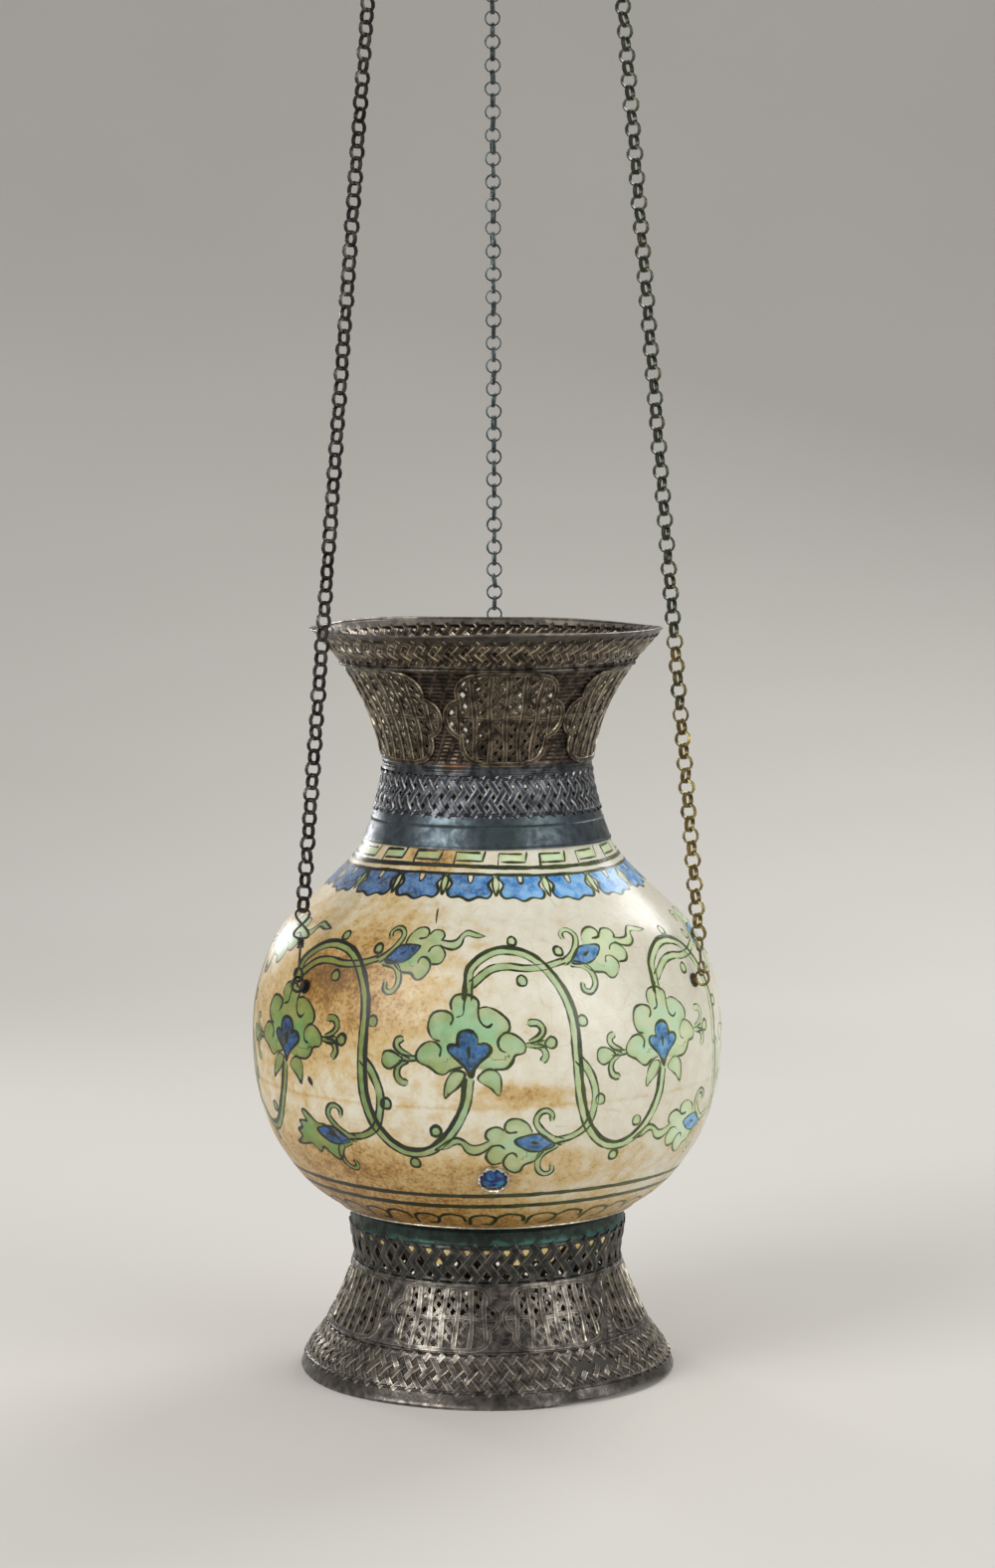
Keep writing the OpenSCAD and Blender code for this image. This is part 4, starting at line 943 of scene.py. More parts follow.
def draw_rings(brush):
    """Ruled lines round the shoulder and above the foot, and a cloud scroll under the last."""
    everywhere = np.arange(len(brush.arc))
    for h, half in RULED:
        brush.ink(everywhere, brush.arc - brush.arc_of(h), np.full(len(everywhere), half))
    brush.repeat(*CLOUDS)
    for curl in (((-8, 80), (-7.4, 84.6), (-3, 86), (0.6, 84), (-0.6, 80.6), (-3.4, 80.4)),
                 ((0.6, 84), (4, 86.4), (8.6, 85.2), (9.6, 82))):
        brush.stroke(brush.flat(curl), half=0.95)


def draw_damage(brush):
    """A crack below the lappets and a chip in the glaze, both dark with age."""
    brush.repeat(1, 0, PAINT_R)
    brush.stroke(brush.flat(((-16.4, 219.5), (-16.2, 216.4), (-15.8, 213.6))), half=0.7, tip=0.3)
    brush.stroke(brush.flat(((-46.6, 145.8), (-45.6, 143.4))), half=1.5, tip=1.1)


# Stains: bearing and height of the middle, half width in degrees, half height, and depth
STAINS = ((-45, 191, 9, 9, 0.34), (-31, 197, 21, 24, 0.33), (-55, 170, 26, 30, 0.2), (-20, 172, 24, 22, 0.16),
          (-34, 104, 56, 15, 0.4), (10, 143, 11, 6, 0.5), (24, 110, 34, 14, 0.15), (70, 118, 24, 20, 0.2),
          (-22, 240, 14, 6, 0.5), (120, 190, 34, 30, 0.34), (190, 120, 45, 25, 0.4),
          (-120, 150, 25, 35, 0.34))
# Heights on the globe: the joint between its two thrown halves, and where painted shade under the
# globe's bulge begins and over how much it deepens
JOINT_H, UNDERSIDE_SHADE_H, UNDERSIDE_SHADE_FADE = 138, 100, 22


def stain_and_shade_depth(bearing, h):
    """How deeply brown stain has soaked into the glaze, by place, with painted shade darkening the bottom of
    the globe.
    """
    degrees = np.degrees(bearing)
    soaked_and_shaded = 0.2 - 0.14 * np.sin(bearing + 0.35)
    for at, height, wide, tall, depth in STAINS:
        turn = (degrees - at + 180) % 360 - 180
        soaked_and_shaded += depth * np.exp(-(turn / wide) ** 2 - ((h - height) / tall) ** 2)
    # The joint has let in a line of dirt
    soaked_and_shaded += 0.14 * np.exp(-((h - JOINT_H - 0.7 * np.sin(2 * bearing)) / 0.8) ** 2)
    # Painted shade: the glaze darkens towards the bottom, under the globe's bulge
    return np.clip(soaked_and_shaded + 0.55 * np.clip((UNDERSIDE_SHADE_H - h) / UNDERSIDE_SHADE_FADE, 0, 1), 0, 1)


# The globe in mm: radius of the stub in the foot's collar, of the throat in the neck's, of the
# hollow's floor and of the pin-hole left at the pole; the wall, the base and the throat's lower end
STUB_R, THROAT_R, HOLLOW_R, POLE = 60.4, 49.2, 46.4, 0.02
WALL, BASE_T, THROAT_H = 6, 7, 250
# Rings up the painted outside, and steps round it
GLOBE_RINGS, GLOBE_STEPS = 176, 456


class LAMP_OT_globe(bpy.types.Operator):
    """Turn the ceramic globe and paint its glaze"""
    bl_idname = "lamp.globe"
    bl_label = "Painted globe"

    def execute(self, context):
        low, high = band("globe")
        up, run = surface_run(1200)
        rings = np.interp(np.linspace(0, run[-1], GLOBE_RINGS), run, up)
        outer = list(zip(curve_radius(GLOBE_LINE, rings), rings))
        # The unseen inside needs fewer rings
        inner = [(r - WALL, h) for r, h in outer[12::8]]
        outline = [(POLE, low), (STUB_R, low), (STUB_R, rings[0]), *outer, (THROAT_R, rings[-1]),
                   (THROAT_R, high), (THROAT_R - WALL, high), (THROAT_R - WALL, THROAT_H), *inner[::-1],
                   (HOLLOW_R, low + BASE_T), (POLE, low + BASE_T)]
        obj = turned("painted_globe", outline, GLOBE_STEPS)
        bearing, r, h = heights(obj)
        shown = np.abs(r - curve_radius(GLOBE_LINE, np.clip(h, GLOBE_LINE[0][0], GLOBE_LINE[-1][0]))) < 0.5
        loops = np.array([list(p.loop_indices) for p in obj.data.polygons
                          if p.loop_total == 4 and all(shown[i] for i in p.vertices)])
        vertex = np.empty(len(obj.data.loops), int)
        obj.data.loops.foreach_get("vertex_index", vertex)
        brush = Brush(bearing, h, vertex[loops], context.scene.lamp_sizes)
        for draw in (draw_vine, draw_shoulder, draw_rings, draw_damage):
            draw(brush)
        for slot, name in enumerate(("first", "second")):
            for part, field, bare in (("line", brush.off, FAR), ("width", brush.half, 0)):
                values = np.full(len(vertex), float(bare))
                values[loops] = field[slot]
                attribute(obj, name + "_" + part, values, "CORNER")
        for name in ("leaf", "cobalt"):
            attribute(obj, name, np.where(shown, getattr(brush, name), FAR))
        attribute(obj, "stain", np.where(shown, stain_and_shade_depth(bearing, h), 0.3))
        # The right side and the shoulder are paler: partly faded paint, partly painted light
        fade = np.clip(0.42 + 0.6 * np.sin(bearing - 0.15), 0, 1)
        attribute(obj, "fade", fade)
        attribute(obj, "wash", np.clip(fade + 0.45 * np.clip((h - 195) / 28, 0, 1), 0, 1))
        place(obj, "vessel", "glazed_ceramic", painted_glaze(context.scene.lamp_colours), "globe")
        return {"FINISHED"}


def runs(kept):
    """Splits rising numbers where they skip."""
    return np.split(kept, np.flatnonzero(np.diff(kept) > 1) + 1)


# The tear: bearing of its middle and half its width in degrees, and how far its flap is pushed in
TEAR_AT, TEAR_HALF, TEAR_PUSH = 38, 16, 3.6


def torn(bearing, t):
    """A ragged tear at the foot's right front: how far the flap below it is pushed in, and
    where the metal is gone."""
    across = (bearing + math.pi) % math.tau - math.pi - math.radians(TEAR_AT)
    height = t - 0.62 * np.clip((across + 0.21) / 0.1, 0, 1) - 0.07 * np.sin(40 * across)
    ease = np.clip((math.radians(TEAR_HALF) - np.abs(across)) / 0.2, 0, 1)
    return TEAR_PUSH * ease * np.clip(-height / 0.1, 0, 1), np.abs(height) < 0.085 * ease


class LAMP_OT_lattices(bpy.types.Operator):
    """Plait the four pierced bands from straps that pass over and under each other"""
    bl_idname = "lamp.lattices"
    bl_label = "Plaited bands"

    def execute(self, context):
        sizes, metals = context.scene.lamp_sizes, finishes(context.scene.lamp_colours)
        # A strap goes over and under as often as it has turns, and its half width is a share of its
        # spacing
        for node, line, straps, turns, share, finish, slot in (
                ("neck_lower_lattice", NECK_LINE, sizes.lower_neck, 2, 0.24, "grey_silver", "grey_silver"),
                ("neck_upper_lattice", NECK_LINE, sizes.upper_neck, 1.5, 0.28, "aged_silver", "aged_silver"),
                ("foot_upper_lattice", FOOT_LINE, sizes.upper_foot, 1.5, 0.25, "shaded_bronze",
                 "dark_bronze"),
                ("foot_lower_lattice", FOOT_LINE, sizes.lower_foot, 2, 0.24, "dark_bronze", "dark_bronze")):
            low, high = band(node)
            if node == "neck_upper_lattice":
                high -= RIM_LAP
            half_w = share * math.tau * curve_radius(line, (low + high) / 2) / straps
            bars = Bars()
            for i in range(straps):
                for way in (1, -1):
                    for t, sunk in self.lengths(node, i, way, turns, straps):
                        bearing = (i + way * turns * (t - 0.5)) * math.tau / straps
                        lift = way * sizes.weave / MM * np.cos(math.tau * turns * t) - SHEET_T / 2 - sunk
                        at, out = on_line(line, bearing, low + (high - low) * t, lift)
                        bars.lay(at, out, half_w, sizes.strap_t / MM)
            edges = [rail(line, h, RAIL_W, RAIL_T, -SHEET_T / 2) for h in (low + RAIL_W, high - RAIL_W)]
            obj = joined(node + "_plait", bars.make("straps"), *edges)
            place(obj, "vessel", slot, metals[finish], node)
        return {"FINISHED"}

    def lengths(self, node, i, way, turns, straps):
        """The whole lengths of one strap, and how far each is sunk: one, or two at the tear."""
        steps = int(4 * turns) + 1
        if node == "foot_lower_lattice":
            t = np.linspace(0, 1, 97)
            sunk, gone = torn((i + way * turns * (t - 0.5)) * math.tau / straps, t)
            if gone.any():
                for run in runs(np.flatnonzero(~gone)):
                    if len(run) > 8:
                        chosen = np.linspace(run[0], run[-1], steps).astype(int)
                        yield t[chosen], sunk[chosen]
                return
        yield np.linspace(0, 1, steps), 0


def lobed(x, y, half_w, half_h):
    """Distance from the edge of a lobed panel, negative inside: round ends, a lobe at each
    corner and a straight middle."""
    lobe = 0.42 * half_h
    end = np.hypot(np.abs(x) - half_w + lobe, y) - lobe
    corner = np.hypot(np.abs(x) - half_w + 1.75 * lobe, np.abs(y) - half_h + 1.08 * lobe) - lobe
    middle = np.maximum(np.abs(x) - half_w + 1.9 * lobe, np.abs(y) - half_h)
    return np.minimum(np.minimum(end, corner), middle)


def inside_run(xs, ys, half_w, half_h, margin):
    """The longest part of a drawn line that lies inside a lobed panel, or None."""
    run = max(runs(np.flatnonzero(lobed(xs, ys, half_w, half_h) < -margin)), key=len)
    return (run[0], run[-1]) if len(run) > 5 else None


class LAMP_OT_panels(bpy.types.Operator):
    """Pierce the lobed panels of the neck and the foot and fill them with openwork"""
    bl_idname = "lamp.panels"
    bl_label = "Pierced panels"

    def execute(self, context):
        sizes, metals = context.scene.lamp_sizes, finishes(context.scene.lamp_colours)
        # First is the bearing of a panel's middle; the ground has so many columns of faces round it;
        # the front and back bars are rubbed so much, the back ones less, also as painted shade behind the
        # front
        for node, line, panels, first, columns, finish, rubbed in (
                ("neck_panel", NECK_LINE, sizes.neck_panels, 9, 384, "aged_silver", (0.9, 0.7)),
                ("foot_panel", FOOT_LINE, sizes.foot_panels, 28, 456, "dark_bronze", (1.1, 0.75))):
            low, high = band(node)
            middle_h, half_h = (low + high) / 2, (high - low) / 2 - 0.6
            middle_r = curve_radius(line, middle_h)
            half_w = math.pi * middle_r / panels - 1.2
            bars = Bars()
            for k in range(panels):
                centre = math.radians(first) + k * math.tau / panels
                self.fill_panel(bars, line, centre, middle_r, middle_h, half_w, half_h, sizes, *rubbed)
            ground = self.ground(line, panels, first, columns, (low, high), middle_r, half_w, half_h)
            obj = joined(node + "_openwork", bars.make("openwork"), ground)
            place(obj, "vessel", finish, metals[finish], node)
        return {"FINISHED"}

    def fill_panel(self, bars, line, centre, r, h, half_w, half_h, sizes, front_shine, back_shine):
        """A beaded edge, uprights, a cross bar and slanting tendrils in one panel."""
        def lay(xs, ys, wide, thick, lift, shine=front_shine):
            bars.lay(*on_line(line, centre + xs / r, h + ys, np.full(len(xs), lift)), wide, thick, shine)

        around = np.linspace(0, math.tau, 97)
        near, far = np.zeros(len(around)), np.full(len(around), half_w + half_h)
        for _ in range(30):
            try_at = (near + far) / 2
            outside = lobed(try_at * np.cos(around), try_at * np.sin(around), half_w, half_h) > 0
            near, far = np.where(outside, near, try_at), np.where(outside, try_at, far)
        lay(near * np.cos(around), near * np.sin(around), EDGE_HALF, *EDGE_BAR, 1.0)
        upright, tendril = sizes.upright / MM, sizes.tendril / MM
        sample = np.linspace(-half_h, half_h, 80)
        for i, x in enumerate(np.linspace(-half_w + 6, half_w - 6, UPRIGHTS)):
            run = inside_run(np.full(len(sample), x), sample, half_w, half_h, 0.3)
            if run:
                ys = np.linspace(sample[run[0]], sample[run[1]], 9)
                xs = x + 0.45 * np.sin(ys / 4.2 + 1.7 * i)
                lay(xs, ys, upright * (1 + 0.18 * np.sin(ys / 3 + i)), *UPRIGHT_BAR)
        xs = np.linspace(-half_w + 0.6, half_w - 0.6, 25)
        lay(xs, 0.5 * np.sin(xs / 4), 0.8 * upright, *CROSS_BAR)
        slant = np.linspace(-1, 1, 240) * (half_w + half_h)
        for way in (1, -1):
            for start in np.arange(-half_w - half_h, half_w + half_h, TENDRIL_STEP):
                xs, ys = start + slant, way * 1.15 * slant
                run = inside_run(xs, ys, half_w, half_h, 0.2)
                if run:
                    kept = np.linspace(run[0], run[1], 9).astype(int)
                    lay(xs[kept] + 0.6 * np.sin(ys[kept] / 2.3), ys[kept], tendril, *TENDRIL_BAR, back_shine)

    def ground(self, line, panels, first, columns, ends, r, half_w, half_h):
        """The punched sheet between the panels, with the lobed openings cut out of it."""
        deselect()
        low, high = ends
        rows = int(round(columns * (high - low) / (math.tau * r)))
        bpy.ops.mesh.primitive_grid_add(x_subdivisions=columns, y_subdivisions=rows, size=2)
        obj = bpy.context.object
        co = coordinates(obj.data)
        bearing, h = math.pi * co[:, 0], (low + high) / 2 + co[:, 1] * (high - low) / 2
        wide = math.tau / panels
        turn = (bearing - math.radians(first) + wide / 2) % wide - wide / 2
        x, y = turn * r, h - (low + high) / 2
        gap = lobed(x, y, half_w, half_h)
        # Vertices near an opening's edge are drawn on to it
        step = 0.05
        slope_x, slope_y = (
            (lobed(x + a, y + b, half_w, half_h) - lobed(x - a, y - b, half_w, half_h)) / (2 * step)
            for a, b in ((step, 0), (0, step)))
        drawn = (np.abs(gap) < 0.6) & (np.abs(y) <= (high - low) / 2 - 0.01)
        bearing -= np.where(drawn, gap * slope_x, 0) / r
        h -= np.where(drawn, gap * slope_y, 0)
        for polygon in obj.data.polygons:
            polygon.select = bool(np.mean(gap[list(polygon.vertices)]) < 0)
        for part in (*obj.data.vertices, *obj.data.edges):
            part.select = False
        # Punch marks: every other row of the bare ground is struck lower, in dashes
        column, row = (np.rint((co[:, i] + 1) / 2 * n) for i, n in ((0, columns), (1, rows)))
        bare = (gap > 0.7) & (np.abs(y) < (high - low) / 2 - 1)
        struck = bare & (row % 2 == 0) & ((column + 3 * row) % 7 > 0)
        shape_to(obj, on_line(line, bearing, h, np.where(struck, PUNCHED_LIFT, GROUND_LIFT))[0])
        bpy.ops.object.mode_set(mode="EDIT")
        bpy.ops.mesh.select_mode(type="FACE")
        bpy.ops.mesh.delete(type="FACE")
        close_up()
        wall = obj.modifiers.new("wall", "SOLIDIFY")
        wall.thickness, wall.offset = GROUND_T * MM, -1
        bpy.ops.object.modifier_apply(modifier="wall")
        _, r, h = heights(obj)
        attribute(obj, "worn", np.where(r < curve_radius(line, h) - 0.5, 0.0, 1.0))
        return obj


def rolled(r, h, wide, tall, turns):
    """The rolled section of an edge, as (radius, height) points round its middle."""
    return [(r + wide * math.cos(a), h + tall * math.sin(a)) for a in turns]


class LAMP_OT_rims(bpy.types.Operator):
    """Turn the thin wavy edges of the mouth and the foot"""
    bl_idname = "lamp.rims"
    bl_label = "Wavy rims"

    def execute(self, context):
        metals = finishes(context.scene.lamp_colours)
        low, high = band("mouth_rim")
        low -= RIM_LAP
        r0, r1 = (curve_radius(NECK_LINE, h) for h in (low, high))
        lip = rolled(r1 - 0.6, high - 0.4, 0.75, 0.6, np.linspace(-1.2, 3.6, 9))
        middle = ((r0 + r1) / 2, (low + high) / 2)
        obj = turned("mouth_rim_edge", [(r0 - 1.5, low), (r0, low), middle, *lip,
                                        (middle[0] - 1.5, middle[1] + 0.5)], STEPS_ROUND)
        bearing, r, h = heights(obj)
        share = np.clip((h - low) / (high - low), 0, 1)
        h = h + share * (0.7 * np.sin(2 * bearing + 0.6) + 0.35 * np.sin(5 * bearing + 1) - 0.2)
        r = r + share * (0.8 * np.exp(-((bearing + 1.5) / 0.35) ** 2) + 0.25 * np.sin(7 * bearing))
        shape_to(obj, round_axis(bearing, r, h))
        inside = r < curve_radius(NECK_LINE, np.clip(h, low, high)) - 0.8
        attribute(obj, "worn", np.where(inside, 0.55, 0.12) + 0.45 * share ** 6)
        place(obj, "vessel", "worn_silver", metals["worn_silver"], "mouth_rim")
        low, high = band("foot_rim")
        r0, r1 = (curve_radius(FOOT_LINE, h) for h in (low, high))
        lip = rolled(r0 - 0.9, 0.8, 0.9, 0.8, np.linspace(3.4, 7.2, 9))
        obj = turned("foot_rim_edge", [(r1 - 1.2, high), (r0 - 2.2, 1.6), *lip, (r0 - 0.6, 2.4),
                                       (r1 + 0.6, high - 1.6), (r1, high)], STEPS_ROUND)
        bearing, r, h = heights(obj)
        share = np.clip((high - h) / (high - low), 0, 1)
        kink = np.exp(-((bearing - 0.95) / 0.3) ** 2) + 0.55 * np.exp(-((bearing - 0.5) / 0.14) ** 2)
        notch = np.exp(-((bearing - 0.45) / 0.035) ** 2)
        h = h + share * (2.6 * kink + 3 * notch + 0.5 * np.sin(3 * bearing) ** 2)
        r = r + share * 0.3 * np.sin(6 * bearing + 0.5) - share * 0.3
        shape_to(obj, round_axis(bearing, r, h))
        attribute(obj, "worn", 0.35 + 0.65 * share ** 4)
        place(obj, "vessel", "worn_silver", metals["foot_lip"], "foot_rim")
        # The collar's upper edge is burnished down on the ceramic
        edge_h = band("foot_collar")[1] + LIP_RISE
        edge_r = curve_radius(GLOBE_LINE, edge_h) + 0.4
        lip = rolled(edge_r, edge_h, 0.5, 0.45, np.arange(8) * math.tau / 8)
        obj = turned("foot_collar_edge", lip, 200)
        place(obj, "vessel", "worn_silver", metals["bright_silver"])
        return {"FINISHED"}


class LAMP_OT_collars(bpy.types.Operator):
    """Turn the plain collars of the neck and the foot, with their drawn lines and small dents"""
    bl_idname = "lamp.collars"
    bl_label = "Plain collars"

    def execute(self, context):
        metals = finishes(context.scene.lamp_colours)
        # Ridges are (share of the height, half width in mm, rise in mm)
        for node, line, finish, slot, ridges in (
                ("neck_collar", NECK_LINE, "blue_silver", "aged_silver",
                 ((0.68, 0.35, 0.35), (0.02, 0.5, 0.3))),
                ("neck_waist_ring", NECK_LINE, "stained_silver", "worn_silver",
                 ((0.14, 0.7, 0.5), (0.5, 0.3, 0.2), (0.86, 0.7, 0.5))),
                ("foot_collar", FOOT_LINE, "verdigris", "verdigris", ((0.1, 0.6, 0.3),))):
            low, high = band(node)
            up = np.linspace(low, high, 33)
            if node == "foot_collar":
                up = np.concatenate([up, high + LIP_RISE * np.linspace(0, 1, 9)[1:]])
            lap = np.where(up > high, curve_radius(GLOBE_LINE, np.maximum(up, GLOBE_LINE[0][0])), 0)
            sheet = curve_radius(line, np.minimum(up, high))
            r = np.maximum(sheet - 0.5, lap + 0.45)
            for share, wide, rise in ridges:
                r = r + rise * np.exp(-((up - low - share * (high - low)) / wide) ** 2)
            inner = list(zip(np.maximum(sheet - SHEET_T, lap + 0.1), up))
            obj = turned(node + "_sheet", list(zip(r, up)) + inner[::-4], STEPS_ROUND)
            bearing, r, h = heights(obj)
            outer = (r > curve_radius(line, np.minimum(h, high)) - 0.9) & (h <= high)
            r = r + outer * (0.1 * np.sin(3 * bearing + h / 7) + 0.06 * np.sin(11 * bearing - h / 3))
            shape_to(obj, round_axis(bearing, r, h))
            share = (h - low) / (high - low)
            tides = {"neck_collar": 0 * share, "foot_collar": 0.16 - 0.36 * share + 0.08 * np.sin(bearing),
                     "neck_waist_ring": 0.36 * np.exp(-((np.degrees(bearing) + 17) / 15) ** 2) * share - 0.1}
            attribute(obj, "tide", tides[node])
            place(obj, "vessel", slot, metals[finish], node)
        return {"FINISHED"}


class LAMP_OT_bedding(bpy.types.Operator):
    """Let the ragged lower edge of the globe's plaster show in the holes under the foot's collar"""
    bl_idname = "lamp.bedding"
    bl_label = "Bedding"

    def execute(self, context):
        low, _ = band("foot_collar")
        up = np.linspace(low - BEDDING_DROP, low + 1, 7)
        r = curve_radius(FOOT_LINE, up)
        outline = list(zip(r - 0.7, up)) + list(zip(r - 3, up))[::-1]
        obj = turned("bedding_edge", outline, STEPS_ROUND)
        bearing, r, h = heights(obj)
        ragged = (0.5 + 0.28 * np.sin(9 * bearing + 2) + 0.22 * np.sin(23 * bearing)
                  - 0.3 * np.cos(bearing - 0.45))
        h = low + 1 - (low + 1 - h) * np.clip(1 - ragged, 0.15, 1)
        shape_to(obj, round_axis(bearing, r, h))
        place(obj, "vessel", "plaster", finishes(context.scene.lamp_colours)["gold_plaster"])
        return {"FINISHED"}


def link_centres(side):
    """Middle, chain direction and hole direction of every link, read off a chain's two solids."""
    joint = next(j for j in frame["record"]["behaviour"]["joints"] if j["name"] == side + "_chain_lean")
    top, outward = np.array(joint["pos_m"]), np.array(joint["axis"])
    low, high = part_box(side + "_eye")
    down = np.array((low + high) / 2) - top
    down /= np.linalg.norm(down)
    across = np.cross(down, outward)
    across /= np.linalg.norm(across)
    front = np.cross(across, down)
    found = []
    for node in ("_chain_edge_links", "_chain_flat_links"):
        co = coordinates(frame["nodes"][side + node].data)
        along = (co - top) @ down
        order = np.argsort(along)
        for group in np.split(order, np.flatnonzero(np.diff(along[order]) > MM) + 1):
            points = co[group]
            middle = (points.max(0) + points.min(0)) / 2
            spread = [np.ptp(points @ axis) for axis in (across, front)]
            found.append((float(along[group].mean()), middle, down, (across, front)[int(np.argmin(spread))]))
    return [f[1:] for f in sorted(found, key=lambda f: f[0])]


class LAMP_OT_chains(bpy.types.Operator):
    """Wind the chains' links, each a ring of three turns of wire"""
    bl_idname = "lamp.chains"
    bl_label = "Wound chains"

    def execute(self, context):
        metals = finishes(context.scene.lamp_colours)
        corners = len(LINK_REACH)
        ring, co, reach = torus(12, corners)
        faces = [tuple(p.vertices) for p in ring.data.polygons]
        turn = np.arctan2(co[:, 1], co[:, 0])
        corner = np.rint(np.arctan2(co[:, 2], reach) / (math.tau / corners)).astype(int) % corners
        discard(ring)
        # Three ridges outside and a flat seat inside, from the middle turn round
        reach, rise, worn = (np.array(row)[corner] for row in (LINK_REACH, LINK_RISE, LINK_WORN))
        chance = np.random.default_rng(7)
        for side in SIDES:
            points, all_faces, rubbed = [], [], []
            for middle, down, hole in link_centres(side):
                lean = hole + chance.normal(0, LINK_LEAN, 3)
                lean /= np.linalg.norm(lean)
                up = down - lean * (down @ lean)
                up /= np.linalg.norm(up)
                third = np.cross(lean, up)
                start = chance.uniform(0, math.tau)
                stretch = 1 + chance.normal(0, LINK_STRETCH)
                spot = (np.cos(turn + start) * reach * stretch)[:, None] * up
                spot = spot + (np.sin(turn + start) * reach / stretch)[:, None] * third + rise[:, None] * lean
                all_faces += [tuple(i + len(points) * len(turn) for i in f) for f in faces]
                points.append(middle / MM + spot - (0, 0, FOOT_Z / MM))
                rubbed.append(worn)
            obj = new_object(side + "_chain_links", np.vstack(points), (), all_faces)
            close_up(merge=False)
            attribute(obj, "worn", np.concatenate(rubbed))
            attribute(obj, "tide", self.tide(side, heights(obj)[2]))
            slot = {"left": "forged_iron", "right": "old_brass", "rear": "grey_silver"}[side]
            place(obj, side + "_chain", slot, metals[side + "_chain"], side + "_chain_edge_links",
                  side + "_chain_flat_links", angle=50)
        return {"FINISHED"}

    def tide(self, side, h):
        """How far another corrosion has spread along a chain: dark above the brass of the right
        one, a patch of rust half way up the rear one."""
        if side == "right":
            return 0.5 * np.clip((h - BRASS_H) / BRASS_FADE, -0.6, 0.6)
        return 0.45 * np.exp(-((h - RUST_H) / RUST_HALF) ** 2) - 0.35


def wire(name, points, half):
    """A round wire along points in mm above the foot, with closed ends."""
    path = bpy.data.curves.new(name, "CURVE")
    path.dimensions, path.use_fill_caps = "3D", True
    path.bevel_depth, path.bevel_resolution = half * MM, 2
    spline = path.splines.new("POLY")
    spline.points.add(len(points) - 1)
    for point, at in zip(spline.points, points):
        point.co = (*in_metres(at), 1)
    obj = bpy.data.objects.new(name, path)
    bpy.context.scene.collection.objects.link(obj)
    pick(obj)
    bpy.ops.object.convert(target="MESH")
    return bpy.context.object


class LAMP_OT_hook(bpy.types.Operator):
    """Bend the left hook: a figure of eight in the last link, a wrapped stem and a loop in the eye"""
    bl_idname = "lamp.hook"
    bl_label = "Left hook"

    def execute(self, context):
        links = link_centres("left")
        lift = np.array((0, 0, FOOT_Z / MM))
        first, last = (np.array(links[i][0]) / MM - lift for i in (0, -1))
        down = (last - first) / np.linalg.norm(last - first)
        co = coordinates(frame["nodes"]["left_hook"].data) / MM - lift
        along = (co - last) @ down
        top, foot = (last + down * s for s in (along.min() + HOOK_WIRE, along.max() - HOOK_WIRE))
        link_side = np.array(links[-1][2])
        seen = np.array((1.0, 0, 0)) - down * down[0]
        seen = seen * np.sign(seen @ link_side) / np.linalg.norm(seen)
        turn = np.linspace(0, math.tau, 65)
        share = (1 - np.cos(turn)) / 2
        sideways = (1 - share)[:, None] * link_side + share[:, None] * seen
        sideways /= np.linalg.norm(sideways, axis=1)[:, None]
        eight = top + (HOOK_EIGHT * share)[:, None] * down
        eight += (HOOK_WIDE * np.sin(2 * turn))[:, None] * sideways
        eight += (HOOK_WIRE * 1.1 * np.sin(turn))[:, None] * np.cross(down, sideways)
        stem_top, stem_foot = top + HOOK_EIGHT * down, foot - 2 * HOOK_LOOP * down
        stem = stem_top + np.linspace(0, 1, 12)[:, None] * (stem_foot - stem_top)
        front = np.cross(seen, down)
        wound = np.linspace(0, WRAP_TURNS * math.tau, 49)
        wrap = stem_top + (0.4 + wound * WRAP_PITCH)[:, None] * down + 2 * HOOK_WIRE * (
            np.cos(wound)[:, None] * seen + np.sin(wound)[:, None] * front)
        out = np.cross(down, np.array((first[0], first[1], 0)) / np.hypot(*first[:2]))
        loop = foot - HOOK_LOOP * down + HOOK_LOOP * (
            np.cos(turn)[:, None] * -down + np.sin(turn)[:, None] * out / np.linalg.norm(out))
        parts = [wire("left_hook_part", p, HOOK_WIRE) for p in (eight, stem, wrap, loop)]
        obj = joined("left_hook_wire", *parts)
        close_up(merge=False)
        place(obj, "left_chain", "forged_iron", finishes(context.scene.lamp_colours)["iron"], "left_hook")
        return {"FINISHED"}


class LAMP_OT_setting(bpy.types.Operator):
    """Crimp the thin silver edge that holds the glass stud"""
    bl_idname = "lamp.setting"
    bl_label = "Stud setting"

    def execute(self, context):
        low, high = (np.array(corner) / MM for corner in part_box("stud_setting"))
        middle, outer = (low + high) / 2, (high[0] - low[0]) / 2
        bearing = math.atan2(middle[0], -middle[1])
        at, out = on_line(GLOBE_LINE, bearing, middle[2] - FOOT_Z / MM, SETTING_LIFT)
        across = np.array((math.cos(bearing), math.sin(bearing), 0))
        up = np.cross(out, across)
        obj, co, reach = torus(96, 8)
        turn, rise = np.arctan2(co[:, 1], co[:, 0]), co[:, 2]
        crimp = 0.22 * np.sin(13 * turn) + 0.16 * np.sin(8 * turn + 1) + 0.12 * np.sin(21 * turn)
        r = outer - SETTING_HALF * (1.2 + crimp) + SETTING_HALF * reach * (1 + 0.6 * crimp)
        tall = SETTING_LIFT * 1.3 * rise * (1 + 1.4 * crimp * (rise > 0))
        shape_to(obj, at + (r * np.cos(turn))[:, None] * across + (r * np.sin(turn))[:, None] * up
                 + tall[:, None] * out)
        close_up(merge=False)
        obj.name = obj.data.name = "stud_setting_edge"
        metal = finishes(context.scene.lamp_colours)["bright_silver"]
        place(obj, "vessel", "worn_silver", metal, "stud_setting")
        return {"FINISHED"}


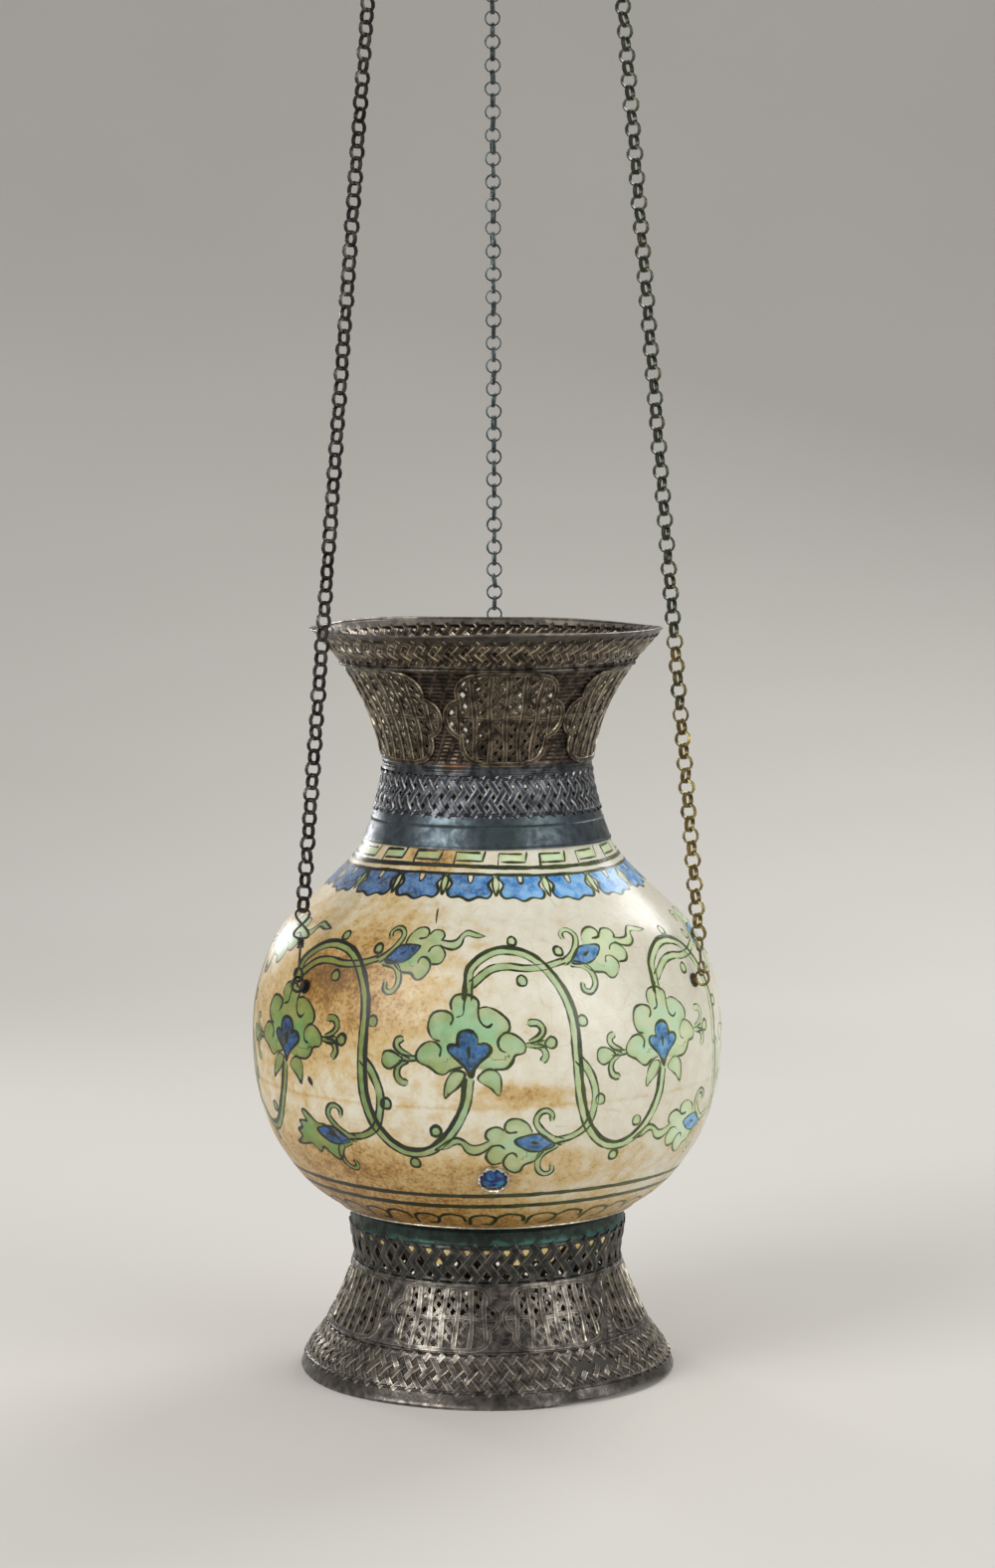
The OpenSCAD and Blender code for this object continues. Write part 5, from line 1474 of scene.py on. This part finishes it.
class LAMP_OT_fittings(bpy.types.Operator):
    """Give the solids that stay in view their metals, glass, plaster and cotton"""
    bl_idname = "lamp.fittings"
    bl_label = "Fittings"

    def execute(self, context):
        metals = finishes(context.scene.lamp_colours)
        for node, obj in frame["nodes"].items():
            finish = next(f for key, f in FITTINGS if key in node)
            obj.data.materials.clear()
            obj.data.materials.append(metals[finish])
        return {"FINISHED"}


class LAMP_OT_stage(bpy.types.Operator):
    """Lay the pale floor, hang the soft lights and set the camera"""
    bl_idname = "lamp.stage"
    bl_label = "Studio"

    def execute(self, context):
        deselect()
        bpy.ops.mesh.primitive_plane_add(size=PAPER, location=(0, PAPER_BACK, FOOT_Z))
        floor = context.object
        floor.name = "studio_floor"
        bpy.ops.object.transform_apply(location=True, rotation=False, scale=False)
        edit_edges(floor, lambda a, b: min(a.y, b.y) > PAPER / 2)
        bpy.ops.mesh.extrude_region_move(TRANSFORM_OT_translate={"value": PAPER_RISE})
        bpy.ops.object.mode_set(mode="OBJECT")
        curve = floor.modifiers.new("sweep", "BEVEL")
        curve.width, curve.segments, curve.limit_method, curve.angle_limit = SWEEP, SWEEP_CUTS, "ANGLE", 0.5
        bpy.ops.object.modifier_apply(modifier="sweep")
        bpy.ops.object.shade_smooth_by_angle(angle=math.radians(60))
        floor.data.materials.append(paper(context.scene.lamp_colours))
        aim = Vector((0, 0, FOOT_Z + AIM_H))
        for name, spot, size, power, spread in LIGHTS:
            lamp = bpy.data.lights.new(name, "AREA")
            lamp.energy, lamp.size, lamp.spread = power, size, math.radians(spread)
            holder = bpy.data.objects.new(name, lamp)
            context.scene.collection.objects.link(holder)
            holder.location = aim + Vector(spot)
            holder.rotation_euler = (-Vector(spot)).to_track_quat("-Z", "Y").to_euler()
        world = bpy.data.worlds.new("soft_room")
        world.use_nodes = True
        light = world.node_tree.nodes["Background"]
        fill_sockets(world.node_tree, light, {"Color": "#f2f1ee", "Strength": ROOM_LIGHT})
        context.scene.world = world
        context.scene.view_settings.view_transform = "Standard"
        lens = bpy.data.cameras.new("photo_camera")
        lens.sensor_width, lens.lens = SENSOR, FOCUS_PX / IMAGE_H * SENSOR
        lens.shift_y = -LIFT_PX / IMAGE_H
        lens.clip_start, lens.clip_end = 0.05, 50
        camera = bpy.data.objects.new("photo_camera", lens)
        camera.location = (EYE_X * MM, -EYE_AWAY * MM, FOOT_Z + EYE_H * MM)
        camera.rotation_euler = (math.radians(90 - EYE_DOWN), 0, 0)
        context.scene.collection.objects.link(camera)
        context.scene.camera = camera
        return {"FINISHED"}


class LAMP_PT_panel(bpy.types.Panel):
    """Lists the lamp's pieces in the order they are made"""
    bl_idname = "LAMP_PT_panel"
    bl_label = "Mosque lamp"
    bl_space_type = "VIEW_3D"
    bl_region_type = "UI"
    bl_category = "Lamp"

    def draw(self, context):
        for group in (context.scene.lamp_sizes, context.scene.lamp_colours):
            box = self.layout.box()
            for name in group.__annotations__:
                box.prop(group, name)
        for operator in OPERATORS:
            self.layout.operator(operator.bl_idname)


OPERATORS = (LAMP_OT_globe, LAMP_OT_lattices, LAMP_OT_panels, LAMP_OT_rims, LAMP_OT_collars, LAMP_OT_bedding,
             LAMP_OT_chains, LAMP_OT_hook, LAMP_OT_setting, LAMP_OT_fittings, LAMP_OT_stage)
CLASSES = (LampSizes, LampColours, *OPERATORS, LAMP_PT_panel)


def register():
    for made in CLASSES:
        bpy.utils.register_class(made)
    bpy.types.Scene.lamp_sizes = PointerProperty(type=LampSizes)
    bpy.types.Scene.lamp_colours = PointerProperty(type=LampColours)


def unregister():
    del bpy.types.Scene.lamp_sizes, bpy.types.Scene.lamp_colours
    for made in reversed(CLASSES):
        bpy.utils.unregister_class(made)


def main():
    """Makes every piece in order."""
    register()
    for operator in OPERATORS:
        group, name = operator.bl_idname.split(".")
        getattr(getattr(bpy.ops, group), name)()


if __name__ == "__main__":
    main()
